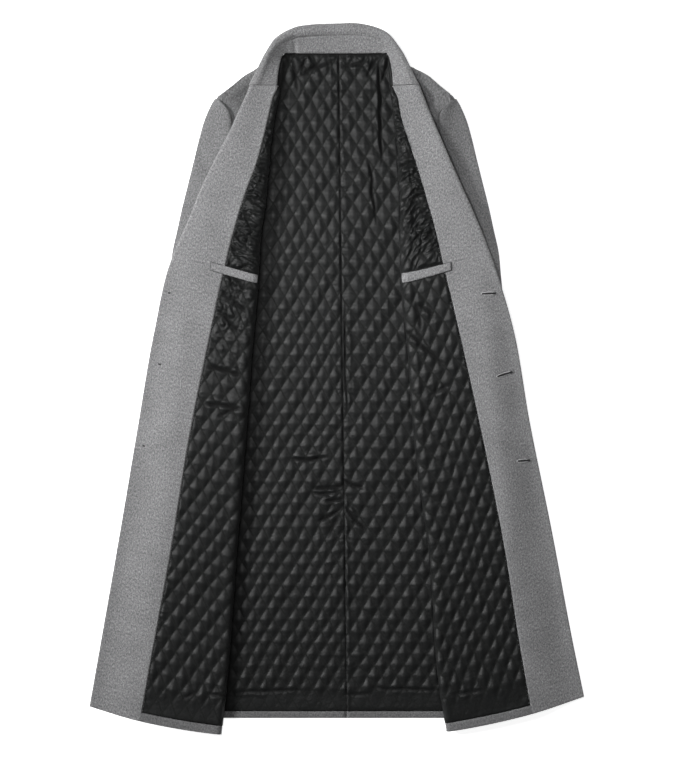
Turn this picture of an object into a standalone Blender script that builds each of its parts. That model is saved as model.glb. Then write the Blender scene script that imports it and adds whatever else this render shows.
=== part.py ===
"""Open overcoat laid flat on its back, both fronts turned back to show the lining.

Every panel is a sheet of cloth: a flat cut, placed in space by a function of the distance
down the coat and the distance across it, with a wall between an inner and an outer face.
Lengths below are millimetres; meshes are written in metres with +Z up.
"""
import math
from typing import Callable, NamedTuple

import bmesh
import bpy
import numpy as np
from mathutils import Vector
from mathutils.geometry import delaunay_2d_cdt

MM = 0.001
# Middle of the coat's box, which is the part's origin
BOX_MIDDLE = (2.25, -0.6, 0.0)
COLLECTION = "open_overcoat"

# Whole coat
NAPE_Y = 577.0
BACK_HEM_Y = -603.5
CENTRE_SEAM_TOP_X = 5.0
CENTRE_SEAM_HEM_X = 19.5
VENT_TOP_Y = -195.0
VENT_OPEN = 1.6

# Cloth walls and the space between sewn pieces
WOOL = 2.5
LINING = 1.5
COLLAR_WALL = 3.0
SLEEVE_WALL = 3.2
SEAM_GAP = 0.3
LINING_GAP = 0.6
TURN_GAP = 1.5

# Quilting, a diamond lattice
DIAMOND_WIDE = 25.7
DIAMOND_HIGH = 41.0
PUFF = 3.5
PUFF_FADE = 6.0

# Heights of the layers over the floor
BACK_LINING_Z = WOOL + SEAM_GAP
LOWER_Z = 8.9
SIDE_SEAM_Z = WOOL + SEAM_GAP
SLEEVE_REST_Z = LOWER_Z + WOOL + 0.4
SLEEVE_FLOOR_Z = 1.0

# Turned-back fronts
GORGE_DOWN = 58.0
SHOULDER_TOP_DOWN = 24.0
BREAK_DOWN = 394.0
ROLL_RADIUS = 2.7
ROLL_OUT = ROLL_RADIUS + SEAM_GAP + WOOL
HEM_STRIP = 16.0
HEM_BULGE = 6.0
BACK_STRIP = 12.5
LINING_TUCK = 45.0
LOWER_TILT = math.radians(12.0)
# The back's hem rises towards the side seam
HEM_CORNER_RISE = 14.0
HEM_CORNER_START = 262.0
HEM_CORNER_RUN = 84.0
TURN_FACETS = 6
ROLL_FACETS = 4
TILT_START = 40.0
TILT_RUN = 160.0

# Collar
COLLAR_ROLL = 5.5
STAND_SHARE = 0.65
COLLAR_RAISE = COLLAR_WALL + SEAM_GAP
COLLAR_RAISE_HALF = 72.0

# Buttons
BUTTON_RADIUS = 14.0
BUTTON_THICK = 4.0
BUTTON_SIDES = 16


class FrontRow(NamedTuple):
    """One section across a front: where it folds and how far the cloth reaches from there."""

    down: float
    fold: float
    seam: float
    edge: float
    radius: float
    edge_z: float


LEFT_ROWS = (
    FrontRow(24, 95.5, 6.5, 44.0, 6.0, 21.7),
    FrontRow(84, 105.0, 7.5, 56.5, 6.5, 22.2),
    FrontRow(116, 111.0, 8.5, 63.8, 7.5, 24.2),
    FrontRow(155, 117.0, 11.5, 72.8, 10.0, 30.2),
    FrontRow(199, 121.0, 19.0, 89.5, 12.0, 31.7),
    FrontRow(261, 127.0, 35.0, 112.0, 12.5, 31.2),
    FrontRow(323, 135.0, 45.5, 128.0, 12.5, 30.7),
    FrontRow(394, 139.0, 59.0, 154.0, 12.0, 28.5),
    FrontRow(527, 150.5, 75.5, 174.0, 11.5, 20.5),
    FrontRow(704, 163.5, 97.5, 192.0, 10.5, 11.0),
    FrontRow(898, 179.0, 113.5, 209.5, 8.5, 4.5),
    FrontRow(1111, 194.5, 136.5, 231.0, 7.0, 3.2),
    FrontRow(1208, 204.5, 144.5, 238.0, 6.5, 3.2),
)
RIGHT_ROWS = (
    FrontRow(24, 96.0, 6.5, 40.0, 6.0, 21.7),
    FrontRow(84, 103.5, 7.5, 54.4, 6.5, 22.2),
    FrontRow(116, 107.5, 9.0, 61.5, 7.5, 24.2),
    FrontRow(155, 112.0, 16.0, 71.0, 10.0, 30.2),
    FrontRow(199, 114.5, 27.5, 85.5, 12.0, 31.7),
    FrontRow(261, 117.5, 42.5, 108.0, 12.5, 31.7),
    FrontRow(323, 117.5, 59.5, 134.0, 12.5, 31.7),
    FrontRow(394, 118.5, 74.5, 159.5, 12.0, 31.7),
    FrontRow(527, 130.5, 93.5, 188.5, 11.5, 21.0),
    FrontRow(704, 144.5, 118.0, 206.5, 10.5, 11.0),
    FrontRow(898, 170.0, 131.0, 220.5, 8.5, 4.5),
    FrontRow(1111, 185.0, 150.0, 245.5, 7.0, 3.2),
    FrontRow(1203, 199.0, 153.5, 250.5, 6.5, 3.2),
)
LEFT_TILT = math.radians(11.7)
RIGHT_TILT = math.radians(14.0)

# Distances down at which the fronts are sectioned
FRONT_DOWNS = (24, 58, 80.5, 89, 102, 116, 134, 155, 177, 199, 230, 261, 323, 358, 394,
               440, 500, 570, 704, 800, 898, 1004, 1111, 1165)


class LapelRow(NamedTuple):
    """Width of the lapel turned under at one distance down."""

    down: float
    width: float


LAPEL_ROWS = (LapelRow(58, 26), LapelRow(89, 30), LapelRow(134, 38), LapelRow(199, 46),
              LapelRow(261, 40), LapelRow(323, 24), LapelRow(394, 6))


class SideRow(NamedTuple):
    """Half width of the body at a height: shoulder slope, armhole, side seam."""

    y: float
    half: float


SHOULDER_ROWS = (SideRow(575.0, 104.0), SideRow(496.5, 212.0))
ARMHOLE_ROWS = (SideRow(496.5, 212.0), SideRow(487.6, 195.6), SideRow(475.0, 185.0),
                SideRow(461.0, 180.0), SideRow(443.0, 181.0), SideRow(400.0, 186.5),
                SideRow(350.0, 196.0), SideRow(300.0, 211.0), SideRow(255.0, 236.0),
                SideRow(228.0, 262.0))
SEAM_ROWS = (SideRow(228.0, 262.0), SideRow(50.0, 279.0), SideRow(-250.0, 309.0),
             SideRow(-629.0, 349.0))


class SleeveRow(NamedTuple):
    """One section across a sleeve: its inner and outer edge and its thickness."""

    down: float
    inner: float
    outer: float
    thick: float


SLEEVE_ROWS = (
    SleeveRow(87, 201.5, 219.0, 10.0),
    SleeveRow(94, 193.5, 222.5, 12.0),
    SleeveRow(105, 186.5, 227.5, 12.6),
    SleeveRow(120, 182.5, 233.5, 12.6),
    SleeveRow(142, 182.5, 240.0, 12.6),
    SleeveRow(187, 182.0, 251.0, 11.4),
    SleeveRow(231, 178.5, 262.0, 11.0),
    SleeveRow(275, 173.0, 273.0, 11.0),
    SleeveRow(314, 167.5, 281.5, 11.0),
    SleeveRow(350, 163.0, 289.5, 11.0),
    SleeveRow(394, 163.0, 294.0, 10.8),
    SleeveRow(477, 171.0, 302.0, 10.6),
    SleeveRow(577, 181.0, 311.0, 10.4),
    SleeveRow(690, 191.0, 319.0, 10.4),
)


class CollarRow(NamedTuple):
    """One section of the collar, from the neck seam to the roll, and the depth of its fall."""

    neck_x: float
    neck_y: float
    neck_z: float
    roll_x: float
    roll_y: float
    roll_z: float
    fall: float
    end_z: float


COLLAR_ROWS = (
    CollarRow(-103.5, 519.9, 22.5, -154.0, 519.9, 24.0, 36, 11.8),
    CollarRow(-100.0, 549.6, 21.0, -139.0, 549.6, 25.0, 28, 11.8),
    CollarRow(-93.0, 574.4, 16.0, -123.0, 579.7, 25.5, 22, 9.0),
    CollarRow(-80.5, 577.3, 11.0, -103.5, 605.3, 25.0, 28, 0.0),
    CollarRow(-59.0, 577.3, 9.0, -70.0, 623.0, 24.0, 58, 0.0),
    CollarRow(-27.5, 577.3, 8.5, -27.5, 628.4, 23.5, 76, 0.0),
    CollarRow(8.0, 577.3, 8.5, 9.7, 630.0, 23.5, 78, 0.0),
    CollarRow(43.4, 577.3, 8.5, 45.0, 629.0, 23.5, 76, 0.0),
    CollarRow(66.0, 577.3, 9.0, 77.0, 621.3, 24.0, 56, 0.0),
    CollarRow(83.0, 577.3, 11.0, 98.2, 608.0, 25.0, 26, 0.0),
    CollarRow(93.0, 574.4, 16.0, 116.0, 583.2, 25.5, 17, 9.0),
    CollarRow(99.0, 549.6, 21.0, 133.6, 550.6, 25.0, 25, 11.8),
    CollarRow(101.8, 519.9, 22.5, 148.7, 519.9, 24.0, 33, 11.8),
)
COLLAR_STEPS = 2


class Welt(NamedTuple):
    """A pocket welt: its reach from the fold and where its two ends lie down the front."""

    reach: float
    start: float
    fold_top: float
    fold_foot: float
    end_top: float
    end_foot: float


LEFT_WELT = Welt(83.0, 3.0, 394.0, 408.5, 388.0, 402.5)
RIGHT_WELT = Welt(88.0, 3.0, 391.0, 408.5, 393.0, 407.0)
WELT_FACETS = 12


class ButtonRow(NamedTuple):
    """A button: distance down the front's fold and in from its edge."""

    down: float
    inset: float


BUTTONS = (ButtonRow(457, 19), ButtonRow(587, 20), ButtonRow(735, 20))


class Finish(NamedTuple):
    """Surface of a cloth: colour, roughness."""

    name: str
    colour: tuple
    roughness: float


WOOL_FINISH = Finish("grey_wool", (0.19, 0.19, 0.195, 1.0), 0.95)
LINING_FINISH = Finish("black_lining", (0.012, 0.013, 0.012, 1.0), 0.5)
HORN_FINISH = Finish("dark_horn", (0.03, 0.025, 0.02, 1.0), 0.4)


def ease(value: float) -> float:
    """Smooth step from 0 to 1."""
    held = min(1.0, max(0.0, value))
    return held * held * (3.0 - 2.0 * held)


def through(xs: list, ys: list, x: float) -> float:
    """Smooth curve through table values, straight beyond their ends."""
    slopes = np.gradient(np.array(ys, float), np.array(xs, float))
    if x <= xs[0]:
        return ys[0] + slopes[0] * (x - xs[0])
    if x >= xs[-1]:
        return ys[-1] + slopes[-1] * (x - xs[-1])
    place = int(np.searchsorted(xs, x)) - 1
    place = max(0, min(place, len(xs) - 2))
    span = xs[place + 1] - xs[place]
    t = (x - xs[place]) / span
    near = ys[place] * (2 * t ** 3 - 3 * t ** 2 + 1) + slopes[place] * span * (t ** 3 - 2 * t ** 2 + t)
    far = ys[place + 1] * (3 * t ** 2 - 2 * t ** 3) + slopes[place + 1] * span * (t ** 3 - t ** 2)
    return float(near + far)


def side_half(y: float) -> float:
    """Half width of the body at a height, along shoulder, armhole and side seam."""
    if y >= SHOULDER_ROWS[1].y:
        top, foot = SHOULDER_ROWS
        return top.half + (foot.half - top.half) * (top.y - y) / (top.y - foot.y)
    rows = ARMHOLE_ROWS if y >= SEAM_ROWS[0].y else SEAM_ROWS
    return float(np.interp(-y, [-row.y for row in rows], [row.half for row in rows]))


def centre_seam(y: float) -> float:
    """Place of the centre-back seam at a height."""
    share = (NAPE_Y - y) / (NAPE_Y - BACK_HEM_Y)
    return CENTRE_SEAM_TOP_X + (CENTRE_SEAM_HEM_X - CENTRE_SEAM_TOP_X) * share


def neck_raise(x: float, y: float) -> float:
    """Lift of the back over the collar's fall, which lies under the neck."""
    across = ease((COLLAR_RAISE_HALF + 22.0 - abs(x)) / 18.0)
    return COLLAR_RAISE * ease((y - 505.0) / 34.0) * across


class Front:
    """One turned-back front: its table, its side of the coat and the surface that its layers share."""

    def __init__(self, side: int, rows: tuple, tilt: float) -> None:
        self.side = side
        self.rows = rows
        self.tilt = tilt
        self.hem = rows[-1].down
        self.downs = [row.down for row in rows]

    def column(self, name: str, down: float) -> float:
        """Value of one table column at a distance down."""
        return through(self.downs, [getattr(row, name) for row in self.rows], down)

    def radius(self, down: float) -> float:
        """Radius of the turn at the fold."""
        return self.column("radius", down)

    def reach(self, down: float) -> float:
        """Distance from the fold to the front edge, or to the start of the lapel's roll."""
        full = self.column("edge", down)
        return full - ROLL_OUT * (1.0 if down <= BREAK_DOWN else ease((BREAK_DOWN + 46.0 - down) / 46.0))

    def across(self, down: float, plan: float) -> float:
        """Distance over the cloth from the fold, for a plan distance on the upper leg."""
        radius = self.radius(down)
        if plan >= radius:
            return math.pi * radius / 2 + plan - radius
        return radius * math.acos(1.0 - plan / radius)

    def upper_angle(self, down: float) -> float:
        """Tilt of a section of the upper leg, level at the gorge."""
        return self.tilt * ease((down - TILT_START) / TILT_RUN)

    def lower_angle(self, down: float) -> float:
        """Tilt of a section of the lower leg."""
        return LOWER_TILT * ease((down - 400.0) / (self.hem - 400.0))

    def side_reach(self, down: float) -> float:
        """Distance from the fold to the side seam, the armhole or the shoulder."""
        fold = self.column("fold", down)
        y = NAPE_Y - down
        angle = self.lower_angle(down)
        out = side_half(y)
        for _ in range(6):
            out = side_half(y + (out - fold) * math.tan(angle))
        return (out - fold) / math.cos(angle)

    def upper_z(self, down: float, plan: float) -> float:
        """Height of the upper leg, which falls to the front edge past the layers under it."""
        top = LOWER_Z + 2 * self.radius(down)
        end = self.column("edge", down)
        start = min(self.side_reach(down) - 12.0, end - 40.0)
        start = max(start, self.radius(down))
        return top + (self.column("edge_z", down) - top) * ease((plan - start) / (end - start))

    def lower_z(self, down: float, plan: float) -> float:
        """Height of the lower leg, which falls to the side seam."""
        width = self.side_reach(down)
        near = ease((width - plan) / (0.26 * width))
        return SIDE_SEAM_Z + (LOWER_Z - SIDE_SEAM_Z) * near

    def base(self, down: float, over: float) -> np.ndarray:
        """Point of the shared surface at a distance down and a distance over the cloth from the fold."""
        radius = self.radius(down)
        quarter = math.pi * radius / 2
        if over >= quarter:
            plan = radius + over - quarter
            height = self.upper_z(down, plan)
            angle = self.upper_angle(down)
        elif over <= -quarter:
            plan = radius - over - quarter
            height = self.lower_z(down, plan)
            angle = self.lower_angle(down)
        else:
            turn = over / radius
            plan = radius * (1.0 - math.cos(turn))
            height = LOWER_Z + radius + radius * math.sin(turn)
            share = turn / math.pi + 0.5
            angle = self.lower_angle(down) * (1 - share) + self.upper_angle(down) * share
        edge = self.column("edge", down)
        bulge = HEM_BULGE * ease((down - self.hem + 110.0) / 110.0)
        low = bulge * 4 * min(1.0, plan / edge) * (1 - min(1.0, plan / edge)) if over > 0 else 0.0
        fold_x = self.side * self.column("fold", down)
        x = fold_x + self.side * plan * math.cos(angle)
        y = NAPE_Y - down + plan * math.sin(angle) - low
        return np.array([x, y, height])

    def normal(self, down: float, over: float) -> np.ndarray:
        """Direction out of the shared surface, to the lining's side."""
        along = self.base(down + 1.0, over) - self.base(down - 1.0, over)
        wide = self.base(down, over + 0.4) - self.base(down, over - 0.4)
        out = self.side * np.cross(along, wide)
        return out / np.linalg.norm(out)

    def place(self, down: float, over: float, lift: float) -> np.ndarray:
        """Point of the shared surface, moved out."""
        return self.base(down, over) + lift * self.normal(down, over)

    def roll(self, down: float, step: float, lift: float) -> np.ndarray:
        """Point of the lapel past its roll line, at a distance over the cloth from that line, moved out."""
        start = self.across(down, self.reach(down))
        half_turn = math.pi * ROLL_RADIUS
        if step <= half_turn:
            edge = self.base(down, start)
            up = self.normal(down, start)
            wide = self.base(down, start) - self.base(down, start - 2.0)
            wide = wide / np.linalg.norm(wide)
            turn = step / ROLL_RADIUS
            arm = ROLL_RADIUS + lift
            return edge - ROLL_RADIUS * up + arm * (math.cos(turn) * up + math.sin(turn) * wide)
        back = start - (step - half_turn)
        return self.place(down, back, -2 * ROLL_RADIUS - lift)


class Sheet:
    """Closed wall of cloth, gathered as outer and inner points and the cells between them."""

    def __init__(self) -> None:
        self.outer: list = []
        self.inner: list = []
        self.cells: list = []

    def point(self, outer: np.ndarray, inner: np.ndarray) -> int:
        """Add a point with its two faces."""
        self.outer.append(outer)
        self.inner.append(inner)
        return len(self.outer) - 1

    def mesh(self, name: str, finish: Finish) -> None:
        """Make the object: outer cells, inner cells turned round, and the rim."""
        count = len(self.outer)
        faces = []
        sides: dict = {}
        for cell in self.cells:
            faces.append(tuple(cell))
            faces.append(tuple(count + corner for corner in reversed(cell)))
            for a, b in zip(cell, cell[1:] + cell[:1]):
                sides[(a, b)] = True
        for a, b in sides:
            if (b, a) not in sides:
                faces.append((b, a, count + a, count + b))
        make_object(name, self.outer + self.inner, faces, finish)


def make_object(name: str, points: list, faces: list, finish: Finish) -> None:
    """Write points in millimetres and faces as one named object, faces outward."""
    mesh = bpy.data.meshes.new(name)
    body = bmesh.new()
    shifted = [[(float(v) - middle) * MM for v, middle in zip(point, BOX_MIDDLE)] for point in points]
    corners = [body.verts.new(Vector(point)) for point in shifted]
    for face in faces:
        body.faces.new([corners[index] for index in face])
    loose = [corner for corner in body.verts if not corner.link_faces]
    bmesh.ops.delete(body, geom=loose, context="VERTS")
    bmesh.ops.triangulate(body, faces=body.faces[:], quad_method="SHORT_EDGE")
    bmesh.ops.recalc_face_normals(body, faces=body.faces[:])
    body.to_mesh(mesh)
    body.free()
    mesh.materials.append(material(finish))
    item = bpy.data.objects.new(name, mesh)
    bpy.data.collections[COLLECTION].objects.link(item)


def material(finish: Finish) -> bpy.types.Material:
    """The finish's material, made once."""
    found = bpy.data.materials.get(finish.name)
    if found:
        return found
    made = bpy.data.materials.new(finish.name)
    made.use_nodes = True
    shader = made.node_tree.nodes["Principled BSDF"]
    shader.inputs["Base Color"].default_value = finish.colour
    shader.inputs["Roughness"].default_value = finish.roughness
    shader.inputs["Metallic"].default_value = 0.0
    made.diffuse_color = finish.colour
    return made


def grid_cells(sheet: Sheet, marks: list) -> None:
    """Join a grid of point numbers into cells, leaving out those with a missing corner."""
    for row, below in zip(marks, marks[1:]):
        for at in range(len(row) - 1):
            corners = [row[at], row[at + 1], below[at + 1], below[at]]
            if None not in corners:
                sheet.cells.append(corners)


def front_downs(front: Front) -> list:
    """Section distances of a front, ending at its hem."""
    return [float(down) for down in FRONT_DOWNS] + [front.hem]


def upper_shares() -> list:
    """Shares of the facing's width at which shell and facing are both sectioned."""
    return [0.0, 0.25, 0.5, 0.75, 1.0]


def lapel_steps(down: float) -> list:
    """Distances over the lapel from its roll line at which it is sectioned."""
    half_turn = math.pi * ROLL_RADIUS
    turn = [half_turn * part / ROLL_FACETS for part in range(1, ROLL_FACETS + 1)]
    width = through([row.down for row in LAPEL_ROWS], [row.width for row in LAPEL_ROWS], down)
    return turn + [half_turn + width]


def front_shell(front: Front, name: str) -> None:
    """Wool front: lower leg, turn at the fold, upper leg and the lapel's under side."""
    sheet = Sheet()
    marks = []
    for down in front_downs(front):
        row = []
        radius = front.radius(down)
        quarter = math.pi * radius / 2
        lower = quarter + front.side_reach(down) - radius
        full = down >= GORGE_DOWN
        for share in (0.0, 0.1, 0.2, 0.3):
            over = -lower + (lower - quarter) * share
            row.append(sheet.point(front.place(down, over, 0.0), front.place(down, over, -WOOL)))
        for part in range(TURN_FACETS + 1):
            over = -quarter + 2 * quarter * part / TURN_FACETS
            if part and not full:
                row.append(None)
                continue
            row.append(sheet.point(front.place(down, over, 0.0), front.place(down, over, -WOOL)))
        start = front.across(down, front.column("seam", down))
        end = front.across(down, front.reach(down))
        for share in upper_shares():
            over = start + (end - start) * share
            if not full:
                row.append(None)
                continue
            row.append(sheet.point(front.place(down, over, 0.0), front.place(down, over, -WOOL)))
        for step in lapel_steps(down):
            if not full or down > BREAK_DOWN:
                row.append(None)
                continue
            row.append(sheet.point(front.roll(down, step, 0.0), front.roll(down, step, -WOOL)))
        marks.append(row)
    grid_cells(sheet, marks)
    sheet.mesh(name, WOOL_FINISH)


def facing(front: Front, name: str) -> None:
    """Wool facing on the upper leg, turned under at the roll line as the face of the lapel."""
    sheet = Sheet()
    low = SEAM_GAP
    high = SEAM_GAP + WOOL
    marks = []
    for down in front_downs(front):
        if down < GORGE_DOWN:
            continue
        row = []
        start = front.across(down, front.column("seam", down))
        end = front.across(down, front.reach(down))
        for share in upper_shares():
            over = start + (end - start) * share
            row.append(sheet.point(front.place(down, over, high), front.place(down, over, low)))
        for step in lapel_steps(down):
            if down > BREAK_DOWN:
                row.append(None)
                continue
            row.append(sheet.point(front.roll(down, step, high), front.roll(down, step, low)))
        marks.append(row)
    grid_cells(sheet, marks)
    sheet.mesh(name, WOOL_FINISH)


def inside(point: tuple, outline: list) -> bool:
    """Whether a flat point lies within an outline."""
    x, y = point
    held = False
    for (ax, ay), (bx, by) in zip(outline, outline[1:] + outline[:1]):
        if (ay > y) != (by > y) and x < (bx - ax) * (y - ay) / (by - ay) + ax:
            held = not held
    return held


def distance_to(point: tuple, outline: list) -> float:
    """Distance of a flat point from an outline's lines."""
    spot = np.array(point)
    best = 1e9
    for a, b in zip(outline, outline[1:] + outline[:1]):
        start = np.array(a)
        run = np.array(b) - start
        share = np.clip(np.dot(spot - start, run) / max(np.dot(run, run), 1e-9), 0, 1)
        best = min(best, float(np.linalg.norm(start + share * run - spot)))
    return best


def line_pieces(start: np.ndarray, run: np.ndarray, outline: list) -> list:
    """Lengths of a straight stitch line that lie within an outline."""
    shares = []
    for a, b in zip(outline, outline[1:] + outline[:1]):
        side = np.array(b) - np.array(a)
        cross = run[0] * side[1] - run[1] * side[0]
        if abs(cross) < 1e-9:
            continue
        gap = np.array(a) - start
        along = (gap[0] * side[1] - gap[1] * side[0]) / cross
        share = (gap[0] * run[1] - gap[1] * run[0]) / cross
        if 0.0 <= share <= 1.0:
            shares.append(along)
    shares.sort()
    pieces = []
    for a, b in zip(shares, shares[1:]):
        middle = start + run * (a + b) / 2
        if b - a > 0.004 and inside(tuple(middle), outline):
            pieces.append((tuple(start + run * a), tuple(start + run * b)))
    return pieces


class Quilt(NamedTuple):
    """A quilted lining as a flat cut: outline, stitched field, bend lines and how it is placed."""

    outline: list
    field: list
    bends: list
    inner_spots: list
    phase: tuple
    place: Callable
    flat_at: Callable


def puff_at(spot: tuple, quilt: Quilt) -> float:
    """Height of the wadding over the plain lining at a flat point."""
    if not inside(spot, quilt.field):
        return 0.0
    wide = (spot[1] - quilt.phase[1]) / DIAMOND_WIDE
    high = (spot[0] - quilt.phase[0]) / DIAMOND_HIGH
    one = (wide + high) % 1.0
    two = (wide - high) % 1.0
    bump = (1 - abs(2 * one - 1)) * (1 - abs(2 * two - 1))
    fade = min(1.0, distance_to(spot, quilt.field) / PUFF_FADE)
    return PUFF * bump * fade * quilt.flat_at(spot)


def quilted(quilt: Quilt, name: str) -> None:
    """Build a quilted lining: puffs between the stitch lines outside, a plain face inside."""
    spots: list = []
    edges: list = []

    def add_line(points: list, closed: bool = False) -> None:
        first = len(spots)
        spots.extend(points)
        last = len(spots) - 1
        edges.extend((at, at + 1) for at in range(first, last))
        if closed:
            edges.append((last, first))

    add_line(quilt.outline, True)
    for bend in quilt.bends:
        add_line(bend)
    lows = np.min(np.array(quilt.field), axis=0)
    tops = np.max(np.array(quilt.field), axis=0)
    reach = int((tops[0] - lows[0]) / DIAMOND_HIGH + (tops[1] - lows[1]) / DIAMOND_WIDE) + 3
    first_row = int((lows[0] - quilt.phase[0]) / DIAMOND_HIGH) - 2
    last_row = int((tops[0] - quilt.phase[0]) / DIAMOND_HIGH) + 2
    first_col = int((lows[1] - quilt.phase[1]) / DIAMOND_WIDE) - 2
    last_col = int((tops[1] - quilt.phase[1]) / DIAMOND_WIDE) + 2
    middle = np.array([quilt.phase[0], quilt.phase[1]])
    for number in range(first_col + first_row - reach, last_col + last_row + reach):
        for slope in (1, -1):
            start = middle + np.array([0.0, number * DIAMOND_WIDE])
            run = np.array([DIAMOND_HIGH, -slope * DIAMOND_WIDE])
            for piece in line_pieces(start, run, quilt.field):
                add_line(list(piece))
    for row in range(2 * first_row, 2 * last_row + 1):
        for col in range(2 * first_col, 2 * last_col + 1):
            if (row + col) % 2 == 0:
                continue
            spot = (quilt.phase[0] + row * DIAMOND_HIGH / 2, quilt.phase[1] + col * DIAMOND_WIDE / 2)
            if inside(spot, quilt.field) and distance_to(spot, quilt.field) > 3.0:
                spots.append(spot)
    found = delaunay_2d_cdt([Vector(spot) for spot in spots], edges, [], 0, 0.02)
    flat = [(float(v[0]), float(v[1])) for v in found[0]]
    cells = kept_cells(flat, found[2], quilt.outline)
    rim = rim_loop(cells)
    sides = {number: at for at, number in enumerate(rim)}
    inner_flat = [flat[number] for number in rim]
    inner_edges = [(at, (at + 1) % len(rim)) for at in range(len(rim))]
    inner_flat = inner_flat + list(quilt.inner_spots)
    again = delaunay_2d_cdt([Vector(spot) for spot in inner_flat], inner_edges, [], 0, 0.001)
    inner_all = [(float(v[0]), float(v[1])) for v in again[0]]
    inner_cells = kept_cells(inner_all, again[2], [flat[number] for number in rim])
    points = [quilt.place(spot, LINING + puff_at(spot, quilt)) for spot in flat]
    count = len(points)
    points += [quilt.place(spot, 0.0) for spot in inner_all]
    faces = [tuple(cell) for cell in cells]
    faces += [tuple(count + corner for corner in reversed(cell)) for cell in inner_cells]
    for a, b in zip(rim, rim[1:] + rim[:1]):
        faces.append((b, a, count + sides[a], count + sides[b]))
    make_object(name, points, faces, LINING_FINISH)


def kept_cells(flat: list, cells: list, outline: list) -> list:
    """Triangles whose middle lies within the outline, all turned the same way."""
    kept = []
    for cell in cells:
        a, b, c = (np.array(flat[corner]) for corner in cell)
        area = (b[0] - a[0]) * (c[1] - a[1]) - (b[1] - a[1]) * (c[0] - a[0])
        if abs(area) < 1e-6:
            continue
        if inside(tuple((a + b + c) / 3), outline):
            kept.append(list(cell) if area > 0 else list(reversed(cell)))
    return kept


def rim_loop(cells: list) -> list:
    """Point numbers round the outline of a set of triangles."""
    sides = {(a, b) for cell in cells for a, b in zip(cell, cell[1:] + cell[:1])}
    following = {a: b for a, b in sides if (b, a) not in sides}
    start = min(following)
    loop = [start]
    while following[loop[-1]] != start:
        loop.append(following[loop[-1]])
    return loop


def welt_share(front: Front, welt: Welt, spot: tuple) -> float:
    """How much of the quilting stays at a flat point: none under the pocket welt."""
    reach = front.across(spot[0], welt.reach)
    share = spot[1] / reach
    top = welt.fold_top + (welt.end_top - welt.fold_top) * share
    foot = welt.fold_foot + (welt.end_foot - welt.fold_foot) * share
    clear = max(top - spot[0], spot[0] - foot, spot[1] - reach - 2.0)
    return ease((clear - 16.0) / 8.0)


def front_lining(front: Front, welt: Welt, name: str) -> None:
    """Quilted lining of a front: on the upper leg, round the fold and a little way under."""
    top = GORGE_DOWN + 2.0
    end = front.hem - HEM_STRIP
    downs = [top] + [down for down in front_downs(front) if top < down < end] + [end]

    def turn(down: float, share: float) -> float:
        return share * math.pi * front.radius(down) / 2

    def tuck(down: float) -> float:
        spare = 0.5 * (front.side_reach(down) - front.radius(down))
        return turn(down, -1.0) - min(LINING_TUCK, spare)

    def seam(down: float) -> float:
        return front.across(down, front.column("seam", down)) - 0.8

    def lift(spot: tuple) -> float:
        quarter = turn(spot[0], 1.0)
        near = ease((quarter + 9.0 - abs(spot[1])) / 9.0)
        return LINING_GAP + (TURN_GAP - LINING_GAP) * near

    def place(spot: tuple, rise: float) -> np.ndarray:
        return front.place(spot[0], spot[1], lift(spot) + rise)

    kept = (-1.0, -0.5, 0.0, 0.5, 1.0)
    foot_marks = [(end, turn(end, share)) for share in kept]
    top_marks = [(top, turn(top, share)) for share in kept if turn(top, share) < seam(top) - 1.0]
    outline = [(down, seam(down)) for down in downs]
    outline += list(reversed(foot_marks))
    outline += [(down, tuck(down)) for down in reversed(downs)]
    outline += top_marks
    bends = []
    for share in kept:
        line = [(down, turn(down, share)) for down in downs]
        bends.append([spot for spot in line if spot[1] < seam(spot[0]) - 1.0])
    field = [(down, seam(down) - 0.02) for down in downs]
    field += [(down, min(turn(down, 0.5), seam(down) - 0.6)) for down in reversed(downs)]
    spots = [spot for bend in bends for spot in bend[1:-1]]
    for down in downs[1:-1]:
        start = turn(down, 1.0)
        for share in (0.36, 0.7):
            if seam(down) - start > 30.0:
                spots.append((down, start + (seam(down) - start) * share))
    quilted(Quilt(outline, field, bends, spots, (NAPE_Y - 577.0 + 8.0, 6.0), place,
                  lambda spot: welt_share(front, welt, spot)), name)


def back_lining(side: int, front: Front, name: str) -> None:
    """Quilted half of the back lining, from the centre seam to a little way under the front."""
    top = NAPE_Y - 1.0
    end = BACK_HEM_Y + BACK_STRIP
    heights = list(np.linspace(top, end, 34))

    def middle(y: float) -> float:
        return centre_seam(y) + side * (0.2 if y > VENT_TOP_Y else VENT_OPEN / 2)

    def outer(y: float, more: float) -> float:
        down = max(NAPE_Y - y, 20.0)
        wide = min(front.column("fold", down) + more, side_half(y) - 14.0)
        return side * max(wide, 84.0)

    def place(spot: tuple, rise: float) -> np.ndarray:
        lift = neck_raise(0.9 * spot[1], spot[0] + 7.0)
        return np.array([spot[1], spot[0], BACK_LINING_Z + lift + rise])

    outline = [(y, middle(y)) for y in heights]
    outline += [(y, outer(y, 52.0)) for y in reversed(heights)]
    field = [(y, middle(y) + side * 0.02) for y in heights]
    field += [(y, outer(y, -0.5)) for y in reversed(heights)]
    raised = [y for y in np.linspace(574.0, 500.0, 8)]
    spots = [(y, side * x) for y in raised for x in (24.0, 46.0, 66.0, 74.0, 82.0)]
    quilted(Quilt(outline, field, [], spots, (NAPE_Y, CENTRE_SEAM_TOP_X), place,
                  lambda spot: 1.0), name)


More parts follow.
